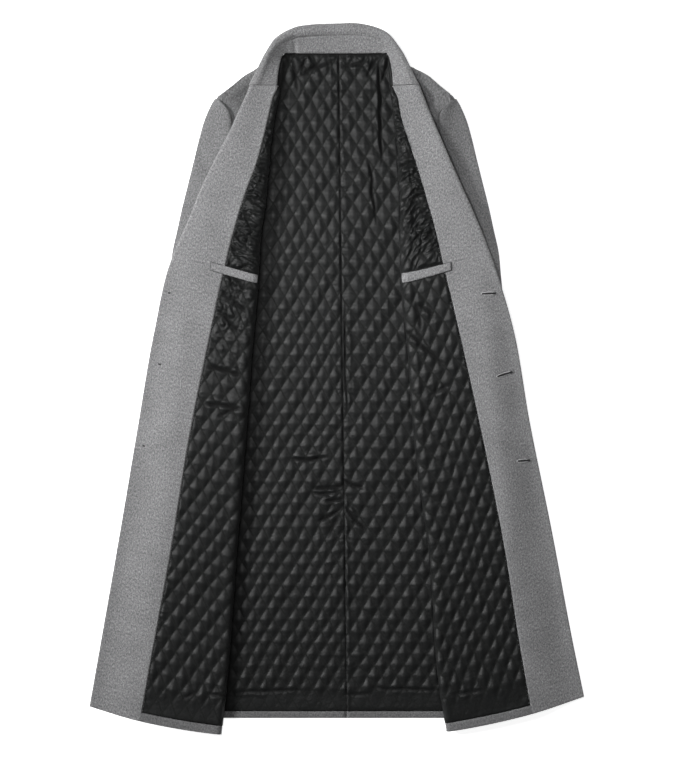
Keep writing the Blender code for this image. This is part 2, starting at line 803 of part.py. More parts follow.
def back_shell(side: int, name: str) -> None:
    """Wool half of the back, flat on the floor, lifted at the neck over the collar's fall."""
    sheet = Sheet()
    heights = [576.6, 553.0, 541.0, 530.0, 518.0, 503.0, 496.5, 487.6, 475.0, 461.0, 443.0, 400.0, 350.0,
               300.0, 255.0, 228.0, VENT_TOP_Y, VENT_TOP_Y - 1.0, BACK_HEM_Y]
    marks = []
    for y in heights:
        inner = centre_seam(y) + side * (SEAM_GAP / 2 if y >= VENT_TOP_Y else VENT_OPEN / 2)
        outer = side * min(side_half(y), 1e9)
        if y > 575.0:
            outer = side * 92.0
        row = []
        for share in (0.0, 0.5, 0.72, 0.86, 1.0):
            x = inner + (outer - inner) * share
            if y > 497.0 and 0.0 < share < 1.0:
                x = side * {0.5: 66.0, 0.72: 76.0, 0.86: 88.0}[share]
            lift = neck_raise(x, y)
            high = y
            if y == BACK_HEM_Y:
                high += HEM_CORNER_RISE * ease((abs(x) - HEM_CORNER_START) / HEM_CORNER_RUN)
            row.append(sheet.point(np.array([x, high, lift + WOOL]), np.array([x, high, lift])))
        marks.append(row)
    grid_cells(sheet, marks)
    sheet.mesh(name, WOOL_FINISH)


def sleeve_ring(side: int, down: float, inset: float) -> list:
    """Ring of points round a flattened sleeve at a distance down, inset by a wall."""
    columns = [row.down for row in SLEEVE_ROWS]
    inner = through(columns, [row.inner for row in SLEEVE_ROWS], down) + inset
    outer = through(columns, [row.outer for row in SLEEVE_ROWS], down) - inset
    thick = through(columns, [row.thick for row in SLEEVE_ROWS], down)
    y = NAPE_Y - down
    clear = side_half(y) + 3.0
    shares = (0.0, 0.03, 0.12, 0.34, 0.6, 0.8, 0.93, 1.0)
    top = []
    foot = []
    for share in shares:
        x = inner + (outer - inner) * share
        drop = ease((x - clear) / max(outer - clear, 12.0))
        rest = SLEEVE_REST_Z + (SLEEVE_FLOOR_Z - SLEEVE_REST_Z) * drop
        bow = math.sqrt(max(0.0, 1.0 - abs(2 * share - 1) ** 4))
        middle = rest + thick / 2
        half = (thick / 2 - inset) * bow
        top.append(np.array([side * x, y, middle + half]))
        foot.append(np.array([side * x, y, middle - half]))
    return top + list(reversed(foot[1:-1]))


def sleeve(side: int, name: str) -> None:
    """A sleeve as a flattened tube of lined wool, from the shoulder cap to the cuff."""
    sheet = Sheet()
    marks = []
    for row in SLEEVE_ROWS:
        outer = sleeve_ring(side, row.down, 0.0)
        inner = sleeve_ring(side, row.down, SLEEVE_WALL)
        line = [sheet.point(a, b) for a, b in zip(outer, inner)]
        marks.append(line + line[:1])
    grid_cells(sheet, marks)
    sheet.mesh(name, WOOL_FINISH)


def collar_section(share: float) -> CollarRow:
    """Collar section at a share of its length, smooth through the table."""
    steps = list(range(len(COLLAR_ROWS)))
    values = [through(steps, [row[at] for row in COLLAR_ROWS], share) for at in range(8)]
    return CollarRow(*values)


def collar_path(row: CollarRow) -> list:
    """Outer line of one collar section: neck seam, roll and the fall behind it."""
    neck = np.array([row.neck_x, row.neck_y, row.neck_z])
    roll = np.array([row.roll_x, row.roll_y, row.roll_z])
    flat = np.array([roll[0] - neck[0], roll[1] - neck[1], 0.0])
    flat = flat / np.linalg.norm(flat)
    start = roll - COLLAR_ROLL * flat
    points = [neck + (start - neck) * share for share in (0.0, 0.35, STAND_SHARE, 0.85)]
    up = np.array([0.0, 0.0, 1.0])
    for part in range(6):
        turn = math.pi * part / 5
        points.append(start + COLLAR_ROLL * (math.sin(turn) * flat + (math.cos(turn) - 1.0) * up))
    foot = points[-1]
    for share in (0.3, 0.62, 1.0):
        spot = foot - flat * (row.fall - COLLAR_ROLL) * share
        spot[2] = foot[2] + (max(0.0, row.end_z) - foot[2]) * ease(min(1.0, share * 1.7))
        points.append(spot)
    return points


def collar(first: int, last: int, name: str) -> None:
    """A piece of the collar, between two places along its section."""
    sheet = Sheet()
    marks = []
    steps = (len(COLLAR_ROWS) - 1) * COLLAR_STEPS
    lines = [collar_path(collar_section(step / COLLAR_STEPS)) for step in range(steps + 1)]
    for at, line in enumerate(lines):
        ahead = lines[min(at + 1, steps)]
        behind = lines[max(at - 1, 0)]
        row = []
        for place in range(first, last + 1):
            near = line[max(place - 1, 0)]
            far = line[min(place + 1, len(line) - 1)]
            out = np.cross(ahead[place] - behind[place], far - near)
            if at in (0, steps):
                out[1] = 0.0
            out = out / np.linalg.norm(out)
            spot = line[place]
            if place == first and first > 0:
                step = line[place + 1] - spot
                spot = spot + step / np.linalg.norm(step) * SEAM_GAP
            row.append(sheet.point(spot, spot - COLLAR_WALL * out))
        marks.append(row)
    grid_cells(sheet, marks)
    sheet.mesh(name, WOOL_FINISH)


def pocket_welt(front: Front, welt: Welt, name: str) -> None:
    """Welt of the inner pocket, laid across facing and lining from the fold."""
    sheet = Sheet()
    low = 2 * SEAM_GAP + WOOL + 0.4
    marks = []
    for part in range(WELT_FACETS + 1):
        share = part / WELT_FACETS
        row = []
        for down_a, down_b in ((welt.fold_top, welt.end_top), (welt.fold_foot, welt.end_foot)):
            down = down_a + (down_b - down_a) * share
            plan = welt.start + (welt.reach - welt.start) * share ** 1.5
            over = front.across(down, plan)
            row.append(sheet.point(front.place(down, over, low + WOOL), front.place(down, over, low)))
        marks.append(row)
    grid_cells(sheet, marks)
    sheet.mesh(name, WOOL_FINISH)


def button(front: Front, spot: ButtonRow, name: str) -> None:
    """A round button with a dished face, on the under side of the turned-back front."""
    over = front.across(spot.down, front.column("edge", spot.down) - spot.inset)
    middle = front.place(spot.down, over, -WOOL - SEAM_GAP)
    down = -front.normal(spot.down, over)
    wide = np.cross(down, np.array([0.0, 1.0, 0.0]))
    wide = wide / np.linalg.norm(wide)
    along = np.cross(down, wide)
    outline = ((0.0, 0.0), (0.86, 0.0), (1.0, 0.35), (1.0, 0.65), (0.88, 1.0), (0.74, 1.0), (0.64, 0.72), (0.0, 0.72))
    points = [middle]
    rings = []
    for radius, height in outline[1:-1]:
        ring = []
        for at in range(BUTTON_SIDES):
            angle = 2 * math.pi * at / BUTTON_SIDES
            arm = math.cos(angle) * wide + math.sin(angle) * along
            points.append(middle + BUTTON_RADIUS * radius * arm + BUTTON_THICK * height * down)
            ring.append(len(points) - 1)
        rings.append(ring)
    points.append(middle + BUTTON_THICK * outline[-1][1] * down)
    faces = []
    for at in range(BUTTON_SIDES):
        after = (at + 1) % BUTTON_SIDES
        faces.append((0, rings[0][after], rings[0][at]))
        for ring, further in zip(rings, rings[1:]):
            faces.append((ring[at], ring[after], further[after], further[at]))
        faces.append((rings[-1][at], rings[-1][after], len(points) - 1))
    make_object(name, points, faces, HORN_FINISH)


def main() -> None:
    """Clear the scene and build the coat, piece by piece."""
    for item in list(bpy.data.objects):
        bpy.data.objects.remove(item, do_unlink=True)
    group = bpy.data.collections.new(COLLECTION)
    bpy.context.scene.collection.children.link(group)
    left = Front(-1, LEFT_ROWS, LEFT_TILT)
    right = Front(1, RIGHT_ROWS, RIGHT_TILT)
    back_shell(-1, "back_shell_left")
    back_shell(1, "back_shell_right")
    back_lining(-1, left, "back_lining_left")
    back_lining(1, right, "back_lining_right")
    for front, welt, word in ((left, LEFT_WELT, "left"), (right, RIGHT_WELT, "right")):
        front_shell(front, "front_shell_" + word)
        front_lining(front, welt, "front_lining_" + word)
        facing(front, "facing_" + word)
        sleeve(front.side, "sleeve_" + word)
        pocket_welt(front, welt, "pocket_welt_" + word)
    collar(0, 2, "collar_stand")
    collar(2, 12, "collar_leaf")
    for number, spot in enumerate(BUTTONS, 1):
        button(left, spot, "button_" + str(number))


main()
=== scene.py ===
"""Looks of an open overcoat that lies on its back with both fronts turned back.

Cloth is built on the same sections as the coat's solids: a shared surface for each front, a
flat back, flattened sleeves and a rolled collar. Each piece is a thin closed wall of cloth on
a fine grid, raised by its wadding, its creases and its seams. Lengths are millimetres in the
classes and metres in the meshes, +Z up.
"""
from __future__ import annotations

import logging
import math
from dataclasses import dataclass
from enum import Enum
from typing import Any, NamedTuple, Sequence

import bpy
import numpy as np
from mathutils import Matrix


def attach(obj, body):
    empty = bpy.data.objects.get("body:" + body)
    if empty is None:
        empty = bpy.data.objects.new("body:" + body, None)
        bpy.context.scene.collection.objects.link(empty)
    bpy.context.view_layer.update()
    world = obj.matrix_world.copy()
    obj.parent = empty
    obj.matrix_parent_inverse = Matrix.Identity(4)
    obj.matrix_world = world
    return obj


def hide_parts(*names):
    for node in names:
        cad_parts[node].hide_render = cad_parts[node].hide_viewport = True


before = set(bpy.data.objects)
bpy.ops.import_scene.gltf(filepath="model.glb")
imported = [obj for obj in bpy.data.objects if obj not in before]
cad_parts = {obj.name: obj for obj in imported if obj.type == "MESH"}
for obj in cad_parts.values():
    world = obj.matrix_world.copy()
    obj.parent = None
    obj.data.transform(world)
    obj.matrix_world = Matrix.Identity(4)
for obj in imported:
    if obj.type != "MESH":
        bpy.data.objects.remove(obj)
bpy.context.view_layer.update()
LOG = logging.getLogger("overcoat")

MM = 0.001
UP = np.array([0.0, 0.0, 1.0])
# Middle of the coat's box, which is the part's origin
BOX_MIDDLE = np.array([2.25, -0.6, 0.0])

# Whole coat
NAPE_Y = 577.0
BACK_HEM_Y = -603.5
CENTRE_SEAM_TOP_X = 5.0
CENTRE_SEAM_HEM_X = 19.5
VENT_TOP_Y = -195.0
VENT_OPEN = 1.6

# Cloth walls and the space between sewn pieces
WOOL = 2.5
LINING = 1.5
COLLAR_WALL = 3.0
SLEEVE_WALL = 3.2
SEAM_GAP = 0.3
LINING_GAP = 0.6
TURN_GAP = 1.5

# Heights of the layers over the floor
BACK_LINING_Z = WOOL + SEAM_GAP
LOWER_Z = 8.9
SIDE_SEAM_Z = WOOL + SEAM_GAP
SLEEVE_REST_Z = LOWER_Z + WOOL + 0.4
SLEEVE_FLOOR_Z = 1.0

# Turned-back fronts, by distance down from the nape
SHOULDER_TOP_DOWN = 24.0
GORGE_DOWN = 58.0
BREAK_DOWN = 394.0
BREAK_FADE = 46.0
ROLL_RADIUS = 2.7
ROLL_OUT = ROLL_RADIUS + SEAM_GAP + WOOL
HEM_STRIP = 16.0
HEM_BULGE = 6.0
BULGE_RUN = 110.0
LINING_TUCK = 45.0
LOWER_TILT = math.radians(12.0)
LOWER_TILT_START = 400.0
TILT_START = 40.0
TILT_RUN = 160.0

# The back's hem rises towards the side seam
BACK_STRIP = 12.5
LINING_HEM_Y = BACK_HEM_Y + BACK_STRIP
HEM_CORNER_RISE = 14.0
HEM_CORNER_START = 262.0
HEM_CORNER_RUN = 84.0

# Collar; the curl is how much higher the roll stands, from the left end to the right end
COLLAR_ROLL = 5.5
STAND_SHARE = 0.65
COLLAR_RAISE = COLLAR_WALL + SEAM_GAP
COLLAR_RAISE_HALF = 72.0
COLLAR_CURL = (8.0, 9.0, 10.0, 8.5, 4.5, 1.5, 0.5, 1.0, 2.5, 5.0, 6.5, 7.0, 7.0)
LEAF_BOW = 3.0

# Quilting: depth of a crease that is full, share of the puff that such a crease takes
DEEP_CREASE = 3.0
CREASE_PRESS = 0.75
HEM_PRESS = 0.14


class Side(Enum):
    """Side of the coat as it lies, seen from above."""

    LEFT = -1
    RIGHT = 1

    @property
    def word(self) -> str:
        """The side's name in lower case."""
        return self.name.lower()


class Held(Enum):
    """How a sheet of cloth lies."""

    LAID = "laid"
    FOLDED = "folded"


class Slot(Enum):
    """Material slots of the part."""

    WOOL = "wool"
    LINING = "lining"
    HORN = "horn"


class FrontRow(NamedTuple):
    """One section across a front: where it folds and how far the cloth reaches from there."""

    down: float
    fold: float
    seam: float
    edge: float
    radius: float
    edge_z: float


class PairRow(NamedTuple):
    """One size at one place along a piece."""

    place: float
    size: float


class SleeveRow(NamedTuple):
    """One section across a sleeve: its inner and outer edge and its thickness."""

    down: float
    inner: float
    outer: float
    thick: float


class CollarRow(NamedTuple):
    """One section of the collar, from the neck seam to the roll, and the depth of its fall."""

    neck_x: float
    neck_y: float
    neck_z: float
    roll_x: float
    roll_y: float
    roll_z: float
    fall: float
    end_z: float


class WeltSize(NamedTuple):
    """A pocket welt: its reach from the fold and where its two ends lie down the front."""

    reach: float
    start: float
    fold_top: float
    fold_foot: float
    end_top: float
    end_foot: float


class Crease(NamedTuple):
    """A soft fold: middle, length, direction in degrees, height (troughs negative), half width."""

    x: float
    y: float
    length: float
    angle: float
    height: float
    width: float


class Mark(NamedTuple):
    """A worked spot on a facing: distance down at its two ends and insets from the edge."""

    down: float
    inset: float
    end_down: float
    end_inset: float


class Swell(NamedTuple):
    """One layer of unevenness: height, size across and along, number of its pattern."""

    height: float
    wide: float
    tall: float
    seed: int


class Crumple(NamedTuple):
    """Crumpled lining beside a facing: where it starts, ends and fades, its height, its lean and bend."""

    top: float
    foot: float
    fade: float
    height: float
    lean: float
    bend: float


class StitchRun(NamedTuple):
    """Stitches along a line: pitch, length and radius of the thread, and whether they lie across it."""

    pitch: float
    length: float
    radius: float
    across: bool


class Lamp(NamedTuple):
    """A soft square light: place and aim in metres, size, watts and beam in degrees."""

    name: str
    spot: tuple[float, float, float]
    aim: tuple[float, float, float]
    size: float
    power: float
    spread: float


def table(kind: Any, *rows: Sequence[float]) -> tuple[Any, ...]:
    """Rows of a table with the named columns of a kind."""
    return tuple(kind(*row) for row in rows)


LEFT_ROWS = table(
    FrontRow,
    (24, 95.5, 6.5, 44.0, 6.0, 21.7),
    (84, 105.0, 7.5, 56.5, 6.5, 22.2),
    (116, 111.0, 8.5, 63.8, 7.5, 24.2),
    (155, 117.0, 11.5, 72.8, 10.0, 30.2),
    (199, 121.0, 19.0, 89.5, 12.0, 31.7),
    (261, 127.0, 35.0, 112.0, 12.5, 31.2),
    (323, 135.0, 45.5, 128.0, 12.5, 30.7),
    (394, 139.0, 59.0, 154.0, 12.0, 28.5),
    (527, 150.5, 75.5, 174.0, 11.5, 20.5),
    (704, 163.5, 97.5, 192.0, 10.5, 11.0),
    (898, 179.0, 113.5, 209.5, 8.5, 4.5),
    (1111, 194.5, 136.5, 231.0, 7.0, 3.2),
    (1208, 204.5, 144.5, 238.0, 6.5, 3.2),
)
RIGHT_ROWS = table(
    FrontRow,
    (24, 96.0, 6.5, 40.0, 6.0, 21.7),
    (84, 103.5, 7.5, 54.4, 6.5, 22.2),
    (116, 107.5, 9.0, 61.5, 7.5, 24.2),
    (155, 112.0, 16.0, 71.0, 10.0, 30.2),
    (199, 114.5, 27.5, 85.5, 12.0, 31.7),
    (261, 117.5, 42.5, 108.0, 12.5, 31.7),
    (323, 117.5, 59.5, 134.0, 12.5, 31.7),
    (394, 118.5, 74.5, 159.5, 12.0, 31.7),
    (527, 130.5, 93.5, 188.5, 11.5, 21.0),
    (704, 144.5, 118.0, 206.5, 10.5, 11.0),
    (898, 170.0, 131.0, 220.5, 8.5, 4.5),
    (1111, 185.0, 150.0, 245.5, 7.0, 3.2),
    (1203, 199.0, 153.5, 250.5, 6.5, 3.2),
)
LEFT_TILT = math.radians(11.7)
RIGHT_TILT = math.radians(14.0)
LAPEL_ROWS = table(PairRow, (58, 26), (89, 30), (134, 38), (199, 46), (261, 40), (323, 24), (394, 6))

# Half width of the body by height: shoulder slope, armhole, side seam
BODY_ROWS = table(
    PairRow, (575.0, 104.0), (496.5, 212.0), (487.6, 195.6), (475.0, 185.0), (461.0, 180.0), (443.0, 181.0),
    (400.0, 186.5), (350.0, 196.0), (300.0, 211.0), (255.0, 236.0), (228.0, 262.0), (50.0, 279.0),
    (-250.0, 309.0), (-629.0, 349.0))

# The first row of a sleeve is the tip of its cap
SLEEVE_ROWS = table(
    SleeveRow,
    (81, 206.5, 214.5, 3.0),
    (87, 201.5, 219.0, 10.0),
    (94, 193.5, 222.5, 12.0),
    (105, 186.5, 227.5, 12.6),
    (120, 182.5, 233.5, 12.6),
    (142, 182.5, 240.0, 12.6),
    (187, 182.0, 251.0, 11.4),
    (231, 178.5, 262.0, 11.0),
    (275, 173.0, 273.0, 11.0),
    (314, 167.5, 281.5, 11.0),
    (350, 163.0, 289.5, 11.0),
    (394, 163.0, 294.0, 10.8),
    (477, 171.0, 302.0, 10.6),
    (577, 181.0, 311.0, 10.4),
    (690, 191.0, 319.0, 10.4),
)

COLLAR_ROWS = table(
    CollarRow,
    (-103.5, 519.4, 22.5, -154.0, 519.4, 24.0, 36, 11.8),
    (-100.0, 549.6, 21.0, -139.0, 549.6, 25.0, 28, 11.8),
    (-93.0, 574.4, 16.0, -123.0, 579.7, 25.5, 22, 9.0),
    (-80.5, 577.3, 11.0, -103.5, 605.3, 25.0, 28, 0.0),
    (-59.0, 577.3, 9.0, -70.0, 623.0, 24.0, 58, 0.0),
    (-27.5, 577.3, 8.5, -27.5, 628.4, 23.5, 76, 0.0),
    (8.0, 577.3, 8.5, 9.7, 630.0, 23.5, 78, 0.0),
    (43.4, 577.3, 8.5, 45.0, 629.0, 23.5, 76, 0.0),
    (66.0, 577.3, 9.0, 77.0, 621.3, 24.0, 56, 0.0),
    (83.0, 577.3, 11.0, 98.2, 608.0, 25.0, 26, 0.0),
    (93.0, 574.4, 16.0, 116.0, 583.2, 25.5, 17, 9.0),
    (99.0, 549.6, 21.0, 133.6, 550.6, 25.0, 25, 11.8),
    (101.8, 519.9, 22.5, 148.7, 519.9, 24.0, 33, 11.8),
)

LEFT_WELT = WeltSize(83.0, 3.0, 394.0, 408.5, 388.0, 402.5)
RIGHT_WELT = WeltSize(88.0, 3.0, 391.0, 408.5, 393.0, 407.0)
BUTTONHOLES = table(Mark, (461.0, 38.8, 465.5, 14.8), (610.5, 47.4, 609.0, 17.9), (765.5, 38.1, 769.5, 15.2))
SHANK_THREADS = table(Mark, (456.5, 14.2, 456.5, 13.2), (584.0, 21.8, 584.0, 20.6), (732.5, 18.0, 732.5, 17.0))

# Back lining: pleat and gathers at the neck, tuck beside the seam, puckers at the vent, hem fold
BACK_CREASES = table(
    Crease,
    (79.0, 474.0, 220.0, 91.5, -5.4, 2.2),
    (72.5, 470.0, 190.0, 91.5, 2.6, 4.0),
    (66.0, 330.0, 130.0, 96.0, -4.0, 2.0),
    (88.0, 552.0, 60.0, 74.0, -2.8, 2.6),
    (70.0, 560.0, 40.0, 62.0, -2.6, 2.4),
    (60.0, 553.0, 46.0, 70.0, -2.2, 2.4),
    (30.0, 557.0, 60.0, 8.0, -2.4, 3.0),
    (-20.0, 560.0, 54.0, 24.0, -2.4, 3.0),
    (-45.0, 550.0, 56.0, 38.0, -2.4, 3.0),
    (-56.0, 556.0, 44.0, 78.0, -2.2, 2.6),
    (-48.0, 566.0, 24.0, 118.0, 2.0, 2.6),
    (-72.0, 540.0, 80.0, 95.0, -2.2, 3.0),
    (18.6, 33.0, 230.0, 90.5, -3.4, 1.8),
    (24.5, 33.0, 205.0, 90.5, 1.8, 3.2),
    (-48.0, -143.0, 84.0, 3.0, -3.8, 2.4),
    (-45.0, -136.5, 62.0, 4.0, 1.8, 4.0),
    (-12.0, -193.0, 72.0, 7.0, -4.2, 2.2),
    (-22.0, -203.0, 60.0, 4.0, -2.8, 2.2),
    (-14.0, -198.5, 44.0, 8.0, 1.6, 3.2),
    (30.0, -187.0, 50.0, -22.0, -4.2, 2.2),
    (0.0, -216.0, 50.0, 12.0, -3.2, 2.2),
    (-9.0, -241.0, 56.0, 33.0, -3.8, 2.2),
    (34.0, -249.0, 84.0, -50.0, -4.0, 2.2),
    (27.4, -229.0, 28.0, -30.0, 1.8, 2.8),
    (-2.0, -262.0, 54.0, 62.0, -2.8, 2.4),
    (-118.0, -556.0, 150.0, 2.0, -2.0, 2.8),
    (-150.0, -562.0, 70.0, -3.0, 1.4, 3.0),
    (120.0, -552.0, 150.0, -2.0, -2.0, 2.8),
    (40.0, -560.0, 60.0, 4.0, -1.6, 2.8),
)
# Front linings: folds beside the fold of the front and at the hem
LEFT_CREASES = table(
    Crease,
    (-196.0, 14.0, 80.0, -14.0, -4.0, 2.6),
    (-196.0, 22.0, 70.0, -14.0, 2.2, 4.0),
    (-200.0, -48.0, 84.0, -8.0, -4.0, 2.6),
    (-200.0, -40.0, 64.0, -8.0, 2.0, 4.0),
    (-190.0, -60.0, 50.0, 30.0, -3.0, 2.6),
    (-185.0, 100.0, 60.0, -50.0, -3.4, 2.8),
    (-172.0, 130.0, 50.0, -40.0, -3.2, 2.8),
    (-212.0, -553.0, 50.0, -4.0, 2.0, 2.2),
    (-210.0, -559.0, 46.0, -4.0, -2.2, 2.4),
    (-255.0, -561.0, 40.0, 24.0, -1.8, 2.4),
)
RIGHT_CREASES = table(
    Crease,
    (150.0, 62.0, 76.0, -42.0, -4.2, 2.6),
    (168.0, 44.0, 70.0, -36.0, -3.8, 2.6),
    (160.0, 54.0, 60.0, -38.0, 2.2, 4.0),
    (146.0, 110.0, 60.0, 100.0, -2.8, 2.8),
    (160.0, 120.0, 44.0, -30.0, -2.4, 2.8),
    (182.0, -20.0, 50.0, 30.0, -1.8, 3.0),
    (235.0, -556.0, 80.0, 10.0, -2.0, 2.6),
)
LEFT_SLEEVE_CREASES = table(Crease, (231.0, 378.0, 110.0, 70.0, -4.4, 12.0))
RIGHT_SLEEVE_CREASES = table(Crease, (240.0, 340.0, 120.0, 100.0, -1.6, 18.0))
# Folds of the collar at its two corners
COLLAR_CREASES = table(
    Crease,
    (-72.5, 595.0, 50.0, 93.0, -2.2, 3.6),
    (-64.0, 595.0, 46.0, 93.0, 0.6, 4.4),
    (84.4, 584.5, 14.0, 50.0, -2.2, 2.2),
    (82.0, 608.0, 30.0, -20.0, -1.6, 5.0),
    (102.0, 556.0, 66.0, -78.0, -1.6, 3.2),
)

# Slack of the cloth, in wide and small swells
BACK_SLACK = table(Swell, (1.1, 75.0, 110.0, 35), (0.5, 20.0, 24.0, 36))
FRONT_SLACK = table(Swell, (0.9, 70.0, 90.0, 73), (0.5, 20.0, 24.0, 74))
FACING_SLACK = table(Swell, (0.9, 60.0, 150.0, 81), (0.35, 22.0, 40.0, 82))

WELT_STITCHES = StitchRun(1.6, 2.4, 0.45, False)
FELL_STITCHES = StitchRun(7.5, 3.4, 0.55, True)
HOLE_STITCHES = StitchRun(0.8, 1.5, 0.4, True)
SLIT_THREADS = StitchRun(0.7, 2.4, 1.7, False)
EYE_THREADS = StitchRun(0.7, 3.6, 2.4, False)
SHANK_STITCHES = StitchRun(1.2, 2.2, 0.5, False)

LAMPS = (Lamp("key_light", (-5.3, 1.6, 4.3), (0.9, -0.3, 0.0), 1.7, 45.0, 47.0),
         Lamp("top_light", (-0.2, 0.3, 1.5), (0.0, 0.3, 0.0), 0.35, 3.9, 92.0))


def ease(value: np.ndarray | float) -> np.ndarray:
    """Smooth step from 0 to 1."""
    held = np.clip(value, 0.0, 1.0)
    return held * held * (3.0 - 2.0 * held)


def through(places: Sequence[float], sizes: Sequence[float], at: np.ndarray | float) -> np.ndarray:
    """Smooth curve through table values, straight beyond their ends.

    Args:
        places: where the sizes are known, rising.
        sizes: the known sizes.
        at: where a size is wanted.

    Returns:
        The size at each wanted place.
    """
    xs = np.asarray(places, float)
    ys = np.asarray(sizes, float)
    spot = np.asarray(at, float)
    slopes = np.gradient(ys, xs)
    low = np.clip(np.searchsorted(xs, spot) - 1, 0, len(xs) - 2)
    span = xs[low + 1] - xs[low]
    t = np.clip((spot - xs[low]) / span, 0.0, 1.0)
    near = ys[low] * (2 * t ** 3 - 3 * t ** 2 + 1) + slopes[low] * span * (t ** 3 - 2 * t ** 2 + t)
    far = ys[low + 1] * (3 * t ** 2 - 2 * t ** 3) + slopes[low + 1] * span * (t ** 3 - t ** 2)
    before = slopes[0] * np.minimum(spot - xs[0], 0.0)
    after = slopes[-1] * np.maximum(spot - xs[-1], 0.0)
    return near + far + before + after


def along_table(rows: Sequence[Any], place: str, size: str, at: np.ndarray) -> np.ndarray:
    """Smooth curve through one column of a table, by another column."""
    return through([getattr(row, place) for row in rows], [getattr(row, size) for row in rows], at)


def cloth_noise(x: np.ndarray, y: np.ndarray, seed: int) -> np.ndarray:
    """Smooth unevenness from -1 to 1, one swell per unit, the same each run.

    Args:
        x: first coordinate, in swells.
        y: second coordinate, in swells.
        seed: number of the pattern.

    Returns:
        The unevenness at each point.
    """
    column = np.floor(x)
    row = np.floor(y)
    across = ease(x - column)
    along = ease(y - row)

    def corner(i: np.ndarray, j: np.ndarray) -> np.ndarray:
        """Fixed random value of one lattice corner."""
        return np.modf(np.abs(np.sin(i * 127.1 + j * 311.7 + seed * 74.7) * 43758.5453))[0]

    top = corner(column, row) * (1 - across) + corner(column + 1, row) * across
    foot = corner(column, row + 1) * (1 - across) + corner(column + 1, row + 1) * across
    return 2.0 * (top * (1 - along) + foot * along) - 1.0


def swells(layers: Sequence[Swell], x: np.ndarray, y: np.ndarray) -> np.ndarray:
    """Sum of several layers of unevenness."""
    return sum(one.height * cloth_noise(x / one.wide, y / one.tall, one.seed) for one in layers)


def gathers(u: np.ndarray, v: np.ndarray, pitch: float, run: float, seed: int) -> np.ndarray:
    """Small uneven folds, side by side along u and drawn out along v.

    Args:
        u: distance along the seam that gathers the cloth.
        v: distance from it.
        pitch: spacing of the folds.
        run: length of a fold.
        seed: number of the pattern.

    Returns:
        Height of the folds from -1 to 1.
    """
    wander = swells((Swell(1.3, 2.6 * pitch, run, seed), Swell(0.5, pitch, run, seed + 3)), u, v)
    wave = np.sin(2 * math.pi * (u / pitch + wander))
    return wave * (0.55 + 0.45 * cloth_noise(u / (1.7 * pitch), v / run, seed + 7))


def crumples(u: np.ndarray, v: np.ndarray, high: float, wide: float, seed: int) -> np.ndarray:
    """Irregular puffs of crumpled cloth, parted by narrow valleys.

    Args:
        u: distance along the seam that crumples the cloth.
        v: distance from it.
        high: size of a puff along u.
        wide: size of a puff along v.
        seed: number of the pattern.

    Returns:
        Height from about -0.4 in the valleys to 1 on the puffs.
    """
    bent_u = u + 0.5 * high * cloth_noise(u / (1.4 * high), v / (1.4 * wide), seed + 1)
    bent_v = v + 0.5 * wide * cloth_noise(u / (1.4 * high), v / (1.4 * wide), seed + 2)
    large = np.abs(cloth_noise(bent_u / high, bent_v / wide, seed))
    small = np.abs(cloth_noise(bent_u / (0.6 * high), bent_v / (0.6 * wide), seed + 3))
    return 1.5 * large + 0.8 * small - 0.45


def crease_height(creases: Sequence[Crease], x: np.ndarray, y: np.ndarray) -> np.ndarray:
    """Height that a set of creases adds to cloth, each with soft ends and an uneven line.

    Args:
        creases: the folds.
        x: plan coordinates across the coat.
        y: plan coordinates up the coat.

    Returns:
        The height at each point.
    """
    total = np.zeros_like(x)
    for number, crease in enumerate(creases):
        turn = math.radians(crease.angle)
        along = (x - crease.x) * math.cos(turn) + (y - crease.y) * math.sin(turn)
        off = (y - crease.y) * math.cos(turn) - (x - crease.x) * math.sin(turn)
        off = off + 2.2 * cloth_noise(along / 26.0, np.full_like(along, number), 11)
        ends = ease((crease.length / 2 - np.abs(along)) / (0.34 * crease.length))
        total = total + crease.height * np.exp(-(off / crease.width) ** 2) * ends
    return total


def trough(folds: np.ndarray, most: float) -> np.ndarray:
    """How deep creases are as a share, held below a most."""
    return np.clip(-folds / DEEP_CREASE, 0.0, most)


def quilt_lattice(x: np.ndarray, y: np.ndarray, start: tuple[np.ndarray | float, float],
                  diamond: tuple[float, float], seed: int) -> np.ndarray:
    """Place on the quilting's two sets of stitch lines, drawn a little off the grain.

    Args:
        x: distances across the cloth.
        y: distances along it.
        start: where the lattice starts, across and along.
        diamond: width and height of a diamond.
        seed: number of the pattern.

    Returns:
        Two coordinates along the last axis, whole numbers on the stitch lines.
    """
    off_x = table(Swell, (2.4, 55.0, 70.0, seed), (0.8, 17.0, 17.0, seed + 1))
    off_y = table(Swell, (3.0, 60.0, 60.0, seed + 2), (0.8, 17.0, 17.0, seed + 3))
    wide = (x + swells(off_x, x, y) - start[0]) / diamond[0]
    tall = (y + swells(off_y, x, y) - start[1]) / diamond[1]
    return np.stack([wide + tall, wide - tall], axis=-1)


def quilt_puff(lattice: np.ndarray) -> np.ndarray:
    """Height of the wadding from 0 to 1 inside each diamond, every diamond a little different.

    Args:
        lattice: place on the stitch lines, whole numbers on the lines.

    Returns:
        The height at each point.
    """
    one = lattice[..., 0]
    two = lattice[..., 1]
    pillow = np.abs(np.sin(math.pi * one) * np.sin(math.pi * two))
    facet = 2.0 * np.minimum(np.abs(one - np.round(one)), np.abs(two - np.round(two)))
    turn = np.floor(one) * 12.9898 + np.floor(two) * 78.233
    full = 0.88 + 0.2 * np.sin(turn)
    lean = 0.3 * np.sin(2.3 * turn) * (one % 1.0 - 0.5) + 0.3 * np.cos(1.7 * turn) * (two % 1.0 - 0.5)
    return (full + lean) * (0.45 * pillow ** 0.6 + 0.55 * facet)


def body_half(y: np.ndarray) -> np.ndarray:
    """Half width of the body at a height, along shoulder, armhole and side seam."""
    return np.interp(-y, [-row.place for row in BODY_ROWS], [row.size for row in BODY_ROWS])


